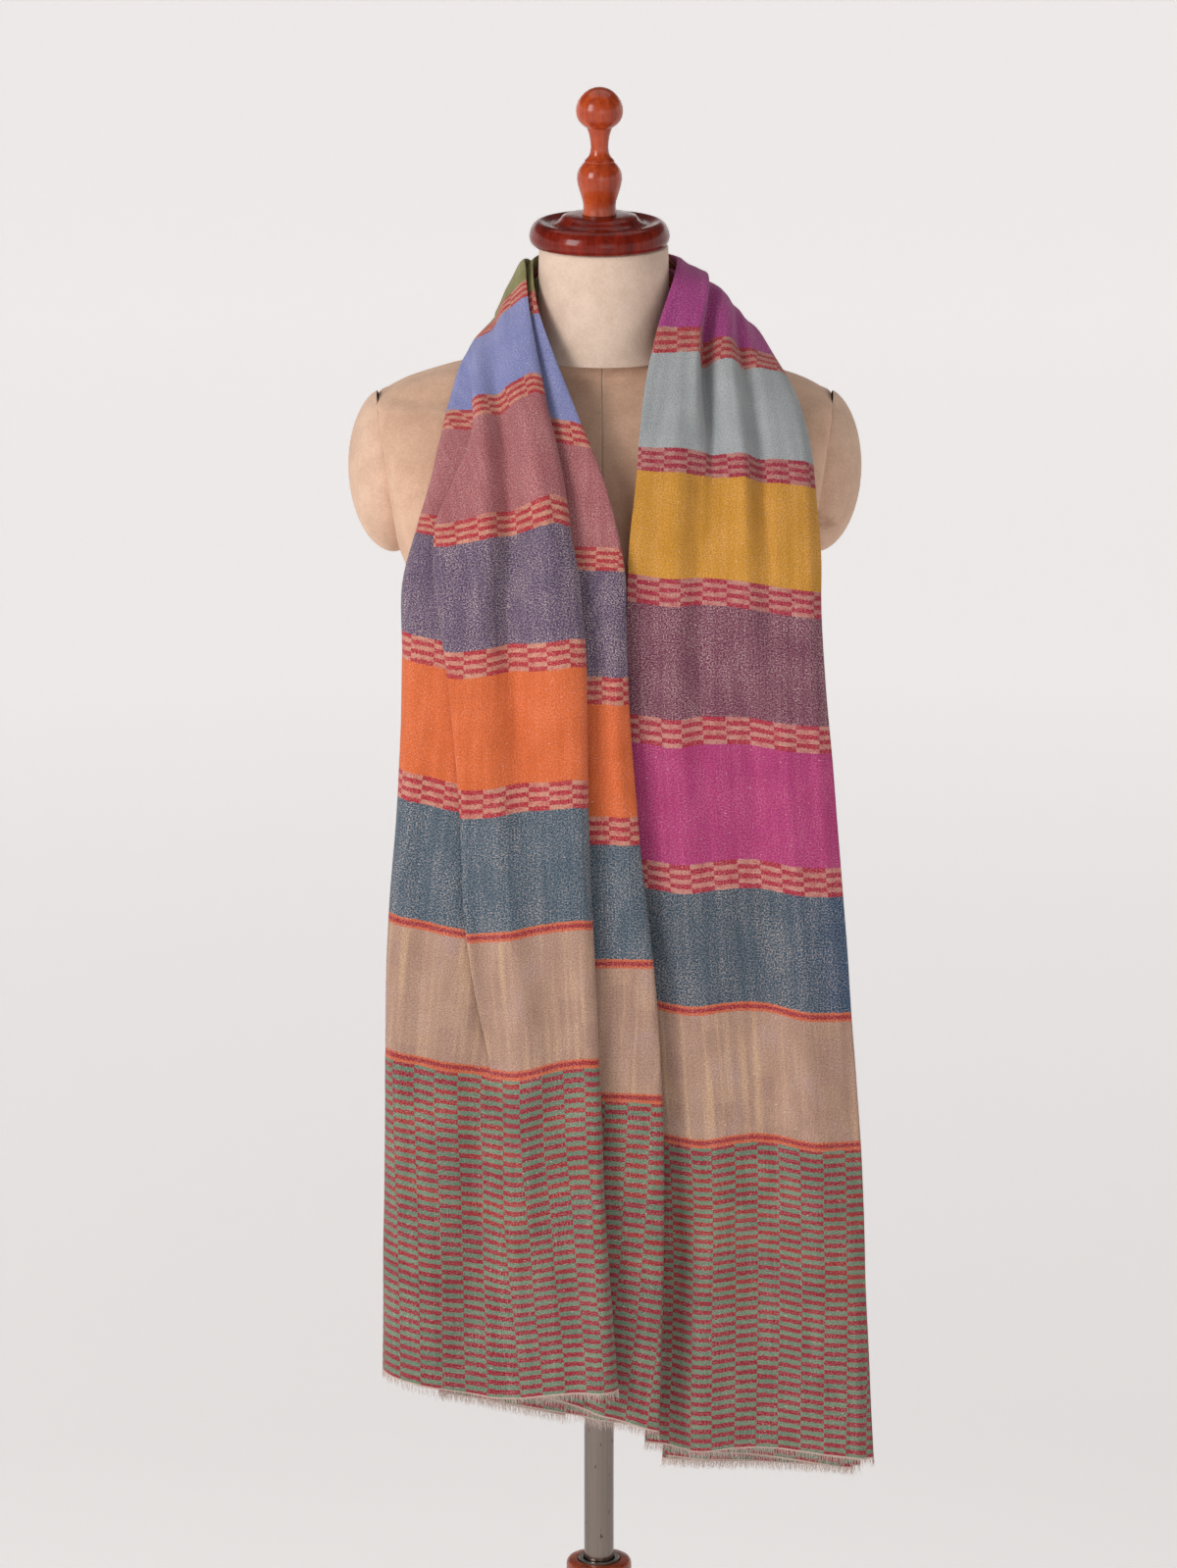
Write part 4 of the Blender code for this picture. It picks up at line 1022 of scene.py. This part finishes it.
def wood_material(name, dark, light, deep, rough=0.26, shine=0.38):
    """Varnished wood with upright grain, darker where the pores lie."""
    net = Net(name)
    place = net.place()
    x, y, z = net.split(place)
    grain = net.noise(net.scaled(x, y, 90.0, 90.0, net.times(z, 6.0)),
                      scale=1.6, detail=5.0, rough=0.62, twist=0.6)
    fine = net.noise(net.scaled(x, y, 700.0, 700.0, net.times(z, 36.0)), detail=2.0)
    cloud = net.noise(place, scale=28.0, detail=2.0)
    mixed = net.blend((grain, 0.62), (fine, 0.16), (cloud, 0.22))
    colour = net.ramp(mixed, ((0.30, deep), (0.46, dark), (0.66, light)))
    scuff = net.noise(place, scale=160.0, detail=3.0)
    return net.finish(
        Base_Color=colour, Roughness=net.between(scuff, 0.3, 0.8, rough - 0.05, rough + 0.12),
        Normal=net.bump(net.plus(fine, scuff), 0.0002, 0.35), Specular_IOR_Level=shine,
        Coat_Weight=0.16, Coat_Roughness=0.10)


def steel_material(name, colour, rough, specks=0.0):
    """Worn polished steel: fine drawn lines and, where asked, dark pin marks and drips."""
    net = Net(name)
    place = net.place()
    x, y, z = net.split(place)
    drawn = net.noise(net.scaled(x, y, 900.0, 900.0, net.times(z, 14.0)), detail=2.0)
    smear = net.noise(place, scale=60.0, detail=3.0)
    lighter = (colour[0] * 1.18, colour[1] * 1.17, colour[2] * 1.15, 1.0)
    base = net.mix(net.between(drawn, 0.3, 0.7), colour, lighter)
    if specks > 0.0:
        marks = net.noise(net.scaled(x, y, 420.0, 420.0, net.times(z, 150.0)), detail=1.0)
        base = net.mix(net.between(marks, 0.70, 0.76, 0.0, specks), base, srgb(46, 36, 30))
    return net.finish(
        Base_Color=base, Metallic=1.0, Normal=net.bump(drawn, 0.00006, 0.4),
        Roughness=net.between(smear, 0.3, 0.8, rough - 0.04, rough + 0.10))


def milky_material(name):
    """Milky plastic that lets a little light in."""
    net = Net(name)
    place = net.place()
    haze = net.noise(place, scale=120.0, detail=3.0)
    colour = net.ramp(haze, ((0.3, srgb(222, 224, 226)), (0.7, srgb(244, 246, 248))))
    normal = net.bump(net.noise(place, scale=500.0, detail=2.0), 0.0002, 0.3)
    return net.finish(
        Base_Color=colour, Roughness=0.30, Normal=normal, Subsurface_Weight=0.35,
        Subsurface_Scale=0.006, Coat_Weight=0.25, Coat_Roughness=0.2)


def paper_material(name, colour, glow):
    """Pale paper, lit by lamps of its own the farther it lies from the stand."""
    net = Net(name)
    place = net.place()
    x, y, _ = net.split(place)
    tone = net.noise(place, scale=1.3, detail=2.0)
    lighter = tuple(min(1.0, value * 1.02) for value in colour[:3]) + (1.0,)
    away = net.math("SQRT", net.plus(net.times(x, x), net.times(y, y)))
    lit = net.ramp(net.over(away, BACKDROP_RADIUS), [
        (share, (value, value, value, 1.0)) for share, value in glow])
    return net.finish(
        Base_Color=net.mix(tone, colour, lighter), Roughness=0.9, Specular_IOR_Level=0.15,
        Emission_Color=colour, Emission_Strength=lit)


def turned(name, profile, steps):
    """A body turned round the upright axis, its profile walked down the outer side."""
    mesh = bpy.data.meshes.new(name)
    mesh.from_pydata([(r, 0.0, z) for r, z in profile], [
        (i, i + 1) for i in range(len(profile) - 1)], [])
    item = bpy.data.objects.new(name, mesh)
    bpy.context.scene.collection.objects.link(item)
    screw = item.modifiers.new("turning", "SCREW")
    screw.axis = "Z"
    screw.angle = 2.0 * math.pi
    screw.steps = steps
    screw.render_steps = steps
    screw.use_merge_vertices = True
    screw.merge_threshold = 0.00003
    screw.use_smooth_shade = True
    made = bpy.data.meshes.new_from_object(item.evaluated_get(
        bpy.context.evaluated_depsgraph_get()))
    item.modifiers.clear()
    item.data = made
    sharpen(item, 38.0)
    return item


def sharpen(item, degrees):
    """Smooth shading but for edges that turn by more than the given angle."""
    mesh = item.data
    shape = bmesh.new()
    shape.from_mesh(mesh)
    limit = math.radians(degrees)
    for face in shape.faces:
        face.smooth = True
    for edge in shape.edges:
        edge.smooth = not (len(edge.link_faces) == 2 and edge.calc_face_angle(0.0) > limit)
    shape.to_mesh(mesh)
    shape.free()


def torso_loop(row, sides):
    """One level of the form's body: flat against the armhole plates, rounded to front and back."""
    height, half, front, back, square = row
    rim = 1.0 - ((height - PLATE_CENTRE) / PLATE_HEIGHT) ** 2
    flat = max(PLATE_DEPTH * math.sqrt(max(rim, 0.0)), LEAST_FLAT)
    loop = []
    for index in range(sides):
        quarter, part = divmod(4.0 * index / sides, 1.0)
        if quarter in (1.0, 3.0):
            part = 1.0 - part
        depth = back if quarter < 2.0 else front
        if part < PLATE_FLAT:
            x, y = half, flat * part / PLATE_FLAT
        else:
            turn = 0.5 * math.pi * (part - PLATE_FLAT) / (1.0 - PLATE_FLAT)
            x = half * max(math.cos(turn), 0.0) ** (2.0 / square)
            y = flat + (depth - flat) * math.sin(turn) ** (2.0 / square)
        x = x if quarter in (0.0, 3.0) else -x
        y = y if quarter < 2.0 else -y
        loop.append((TORSO_SHIFT + x, y, EYE + height))
    return np.array(loop)


def make_torso(sides):
    """The form's body, closed below its hem and under the neck."""
    loops = drawn_in([torso_loop(row, sides) for row in smooth_line(np.array(TORSO_ROWS), 6)])
    low = loops[0]
    centre = low.mean(axis=0)
    under = [centre + (low - centre) * size for size in (0.0, 0.5, 0.97)]
    return ring_object("form_torso", under + loops)


def make_neck(sides):
    """The neck's cover, spreading at its foot to the seam that it is sewn along."""
    loops = []
    rows = [(NECK_BOTTOM + up, spread) for up, spread in NECK_SPREAD]
    rows += [(NECK_TOP - 0.0012, -0.0002), (NECK_TOP, -0.0016)]
    for height, spread in rows:
        part = (height - NECK_BOTTOM) / (NECK_TOP - NECK_BOTTOM)
        half = NECK_HALF - NECK_TAPER[0] * part + spread
        depth = NECK_DEPTH - NECK_TAPER[1] * part + spread * 0.2
        turn = 2.0 * np.pi * np.arange(sides) / sides
        loops.append(np.stack((
            NECK_MIDDLE[0] + half * np.cos(turn), NECK_MIDDLE[1] + depth * np.sin(turn),
            np.full(sides, height)), axis=1))
    return ring_object("form_neck", drawn_in(loops))


def make_plate(name, side, sides):
    """The padded plate that closes one armhole, domed right from its seam."""
    lean = Matrix.Rotation(side * PLATE_LEAN, 3, "Y")
    centre = Vector((TORSO_SHIFT + side * PLATE_OUT, 0.0, EYE + PLATE_CENTRE))
    loops = []
    for index in range(18):
        turn = 0.5 * math.pi * max(index - 1, 0) / 16.0
        out = PLATE_DOME * math.sin(turn) ** 1.1 if index else -0.0007
        size = math.cos(turn) if index else 1.0
        loop = []
        for corner in range(sides):
            angle = 2.0 * math.pi * corner / sides
            loop.append(tuple(centre + lean @ Vector((
                side * out, PLATE_DEPTH * size * math.cos(angle),
                PLATE_HEIGHT * size * math.sin(angle) - PLATE_SINK * math.sin(turn)))))
        loops.append(np.array(loop))
    faces = grid_faces(len(loops), sides, True)
    if side < 0:
        faces = [tuple(reversed(face)) for face in faces]
    return mesh_object(name, np.vstack(loops), faces)


def clamp_piece(name, rows, sides):
    """A body round the clamp's axis, from rows of distance out, radius and reach of the arms."""
    outward = Vector((math.cos(KNOB_TURN), math.sin(KNOB_TURN), 0.0))
    aside = Vector((-math.sin(KNOB_TURN), math.cos(KNOB_TURN), 0.0))
    loops = []
    for out, radius, lobe in rows:
        loop = []
        for index in range(sides):
            angle = 2.0 * math.pi * index / sides
            wave = 0.20 * math.cos(5.0 * angle) - 0.05 * math.cos(10.0 * angle)
            reach = radius * (1.0 + lobe * wave)
            point = outward * out + aside * (reach * math.cos(angle))
            loop.append((point.x, point.y, KNOB_HEIGHT + reach * math.sin(angle)))
        loops.append(np.array(loop))
    return ring_object(name, loops)


def make_screw(sides):
    """The knob's screw, threaded into the collar."""
    turns = 26
    return clamp_piece("knob_screw", [
        (0.0252 + 0.0080 * index / (turns - 1.0), 0.0030 if index % 2 else 0.0027, 0.0)
        for index in range(turns)], sides)


def make_fringe(name, edge, beyond, seed):
    """Loose warp ends along a hem: short uneven strands that hang from its edge."""
    rng = np.random.default_rng(seed)
    lengths = np.linalg.norm(np.diff(edge, axis=0), axis=1)
    arc = running(lengths)
    count = int(arc[-1] / STRAND_STEP)
    spots = (np.arange(count) + rng.uniform(0.15, 0.85, count)) * arc[-1] / count
    verts, faces = [], []
    for spot in spots:
        root = np.array([np.interp(spot, arc, edge[:, axis]) for axis in range(3)])
        inside = np.array([np.interp(spot, arc, beyond[:, axis]) for axis in range(3)])
        down = root - inside
        down = down / np.linalg.norm(down)
        index = int(np.clip(np.searchsorted(arc, spot) - 1, 0, len(lengths) - 1))
        along = (edge[index + 1] - edge[index]) / lengths[index]
        out = np.cross(along, down)
        length = rng.uniform(*STRAND_LENGTH) * (1.0 if rng.random() > SHORT_STRANDS else 0.72)
        lean, bow = rng.normal(0.0, 0.13), rng.normal(0.0, 0.10)
        thick = rng.uniform(*STRAND_THICKNESS)
        first = len(verts)
        for level in range(STRAND_LEVELS):
            part = level / (STRAND_LEVELS - 1.0)
            centre = root - down * 0.0008 + down * (length * part)
            centre = centre + along * (length * (lean * part + 0.35 * lean * part * part))
            centre = centre + out * (length * bow * part * part)
            size = thick * (1.0 - 0.55 * part)
            for corner in range(STRAND_SIDES):
                angle = 2.0 * math.pi * corner / STRAND_SIDES
                verts.append(centre + along * (size * math.cos(angle))
                             + out * (size * math.sin(angle)))
        faces += [tuple(first + corner for corner in face)
                  for face in grid_faces(STRAND_LEVELS, STRAND_SIDES, True)]
        faces.append(tuple(range(len(verts) - STRAND_SIDES, len(verts))))
    return mesh_object(name, verts, faces)


def give(item, material, body):
    item.data.materials.clear()
    item.data.materials.append(material)
    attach(item, body)
    return item


# The cloth.
shawl, cloth_points = make_shawl(330)
give(shawl, weave_material("handloom_weave"), "form")
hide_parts("shawl_left", "shawl_nape", "shawl_right")
yarn = yarn_material("fringe_yarn")
fringe_left = make_fringe("warp_fringe_left", cloth_points[0], cloth_points[1], 4)
give(fringe_left, yarn, "form")
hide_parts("fringe_left")
fringe_right = make_fringe("warp_fringe_right", cloth_points[-1], cloth_points[-2], 9)
give(fringe_right, yarn, "form")
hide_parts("fringe_right")

# The form.
body_cover = suede_material(
    "body_suedecloth", srgb(220, 182, 156), srgb(198, 158, 132), seam_x=0.0020)
neck_cover = suede_material("neck_suedecloth", srgb(226, 202, 184), srgb(208, 182, 162))
plate_cover = suede_material(
    "plate_suedecloth", srgb(222, 188, 164), srgb(200, 164, 140), worn=0.6)
torso = give(make_torso(128), body_cover, "form")
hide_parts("torso")
neck = give(make_neck(128), neck_cover, "form")
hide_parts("neck")
for side, word in ((-1, "left"), (1, "right")):
    plate = give(make_plate("form_plate_" + word, side, 96), plate_cover, "form")
    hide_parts("armhole_plate_" + word)
cap = turned("turned_cap", CAP_PROFILE, 128)
give(cap, wood_material("cap_wood_dark", srgb(98, 22, 12), srgb(138, 38, 20), srgb(52, 10, 8),
     rough=0.20, shine=0.16), "form")
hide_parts("neck_cap")
finial = turned("turned_finial", FINIAL_PROFILE, 96)
give(finial, wood_material("finial_wood_red", srgb(160, 56, 22), srgb(196, 84, 36),
     srgb(112, 34, 16)), "form")
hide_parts("finial")

# The stand.
base = turned("turned_base", BASE_PROFILE, 160)
give(base, wood_material("stand_wood", srgb(138, 54, 26), srgb(172, 84, 44), srgb(92, 30, 16),
     rough=0.30), "stand")
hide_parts("base")
pole = turned("steel_pole", (
    (0.0, POLE_TOP), (0.0104, POLE_TOP), (POLE_RADIUS, POLE_TOP - 0.0008),
    (POLE_RADIUS, POLE_LOW + 0.0008), (0.0104, POLE_LOW), (0.0000, POLE_LOW)), 96)
# The pole's colour, darker than bare steel, is a painted reflection of dark surroundings; its dark
# pin marks and drips are wear.
give(pole, steel_material("pole_steel_worn_painted_reflection", (0.21, 0.175, 0.155, 1.0), 0.15, 0.85),
     "mast")
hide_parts("pole")
flange = turned("steel_flange", (
    (0.0, 0.7297), (0.0372, 0.7297), (0.038, 0.7289), (0.038, 0.7265), (0.0372, 0.7257),
    (0.018, 0.7257), (0.0, 0.7257)), 96)
give(flange, steel_material("flange_steel_dull", (0.46, 0.45, 0.44, 1.0), 0.34),
     "mast")
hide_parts("pole_flange")
sleeve = turned("steel_sleeve", (
    (SLEEVE_BORE, COLLAR_TOP + 0.0006), (SLEEVE_BORE + 0.0005, COLLAR_TOP + 0.0010),
    (SLEEVE_RADIUS - 0.0005, COLLAR_TOP + 0.0010), (SLEEVE_RADIUS, COLLAR_TOP + 0.0006),
    (SLEEVE_RADIUS, COLLAR_TOP - 0.0600), (SLEEVE_BORE, COLLAR_TOP - 0.0600),
    (SLEEVE_BORE, COLLAR_TOP + 0.0006)), 96)
give(sleeve, steel_material("sleeve_steel_dull", (0.34, 0.31, 0.28, 1.0), 0.36, 0.6),
     "stand")
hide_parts("sleeve")
knob = give(clamp_piece("hand_knob", KNOB_ROWS, 120), milky_material("knob_milky"),
            "clamp")
screw = give(make_screw(20), steel_material("screw_steel", (0.40, 0.30, 0.22, 1.0), 0.40),
             "clamp")
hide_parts("clamp_knob")

# The backdrop: a round wall, a quarter round below it and the floor.
BACKDROP_CORNER = BACKDROP_RADIUS - BACKDROP_BEND
BACKDROP_PROFILE = [(BACKDROP_RADIUS, BACKDROP_TOP), (BACKDROP_RADIUS, BACKDROP_BEND)] + [
    (BACKDROP_CORNER + BACKDROP_BEND * math.cos(turn), BACKDROP_BEND * (1.0 - math.sin(turn)))
    for turn in (0.5 * math.pi * index / 12.0 for index in range(1, 13))] + [
        (away, 0.0) for away in (9.0, 6.0, 3.0, 1.0, 0.0)]

# How strongly the backdrop is lit by its own lamps. Columns: the distance from the stand as a
# share of its radius, and the strength.
BACKDROP_GLOW = (
    (0.0, 0.46), (0.025, 0.46), (0.07, 0.46), (0.13, 0.59), (0.215, 0.75), (0.34, 0.8),
    (0.47, 0.78), (0.7, 0.74), (1.0, 0.7),
)
backdrop = turned("backdrop", BACKDROP_PROFILE, 96)
backdrop.data.materials.clear()
backdrop.data.materials.append(paper_material(
    "backdrop_paper", srgb(236, 233, 232), BACKDROP_GLOW))


def area_light(name, place, aim, width, height, power, colour=(1.0, 1.0, 1.0)):
    lamp = bpy.data.lights.new(name, "AREA")
    lamp.shape = "RECTANGLE"
    lamp.size, lamp.size_y = width, height
    lamp.energy = power
    lamp.color = colour
    item = bpy.data.objects.new(name, lamp)
    bpy.context.scene.collection.objects.link(item)
    item.location = place
    item.rotation_euler = (Vector(aim) - Vector(place)).to_track_quat("-Z", "Y").to_euler()


area_light("key_light", (-2.7, -2.5, 2.8), (0.0, 0.0, 1.05), 1.4, 1.8, 95.0, (1.0, 0.985, 0.97))
area_light("fill_light", (0.8, -3.8, 1.8), (0.0, 0.0, 1.0), 1.6, 2.0, 12.0, (0.99, 0.99, 1.0))
area_light("top_light", (0.0, 0.6, 3.6), (0.0, 0.0, 1.0), 3.0, 2.0, 18.0)

world = bpy.data.worlds.new("studio")
bpy.context.scene.world = world
world.use_nodes = True
world.node_tree.nodes["Background"].inputs["Color"].default_value = (0.93, 0.93, 0.94, 1.0)
world.node_tree.nodes["Background"].inputs["Strength"].default_value = 0.10

camera_data = bpy.data.cameras.new("camera")
camera_data.lens = CAMERA_LENS
camera_data.sensor_width = 36.0
camera = bpy.data.objects.new("camera", camera_data)
bpy.context.scene.collection.objects.link(camera)
camera.location = (CAMERA_ASIDE, -CAMERA_DISTANCE * math.cos(CAMERA_ANGLE),
                   EYE + CAMERA_DISTANCE * math.sin(CAMERA_ANGLE))
camera.rotation_euler = (0.5 * math.pi - CAMERA_ANGLE, 0.0, 0.0)
camera_data.clip_end = 60.0
bpy.context.scene.camera = camera
bpy.context.scene.view_settings.view_transform = "Standard"
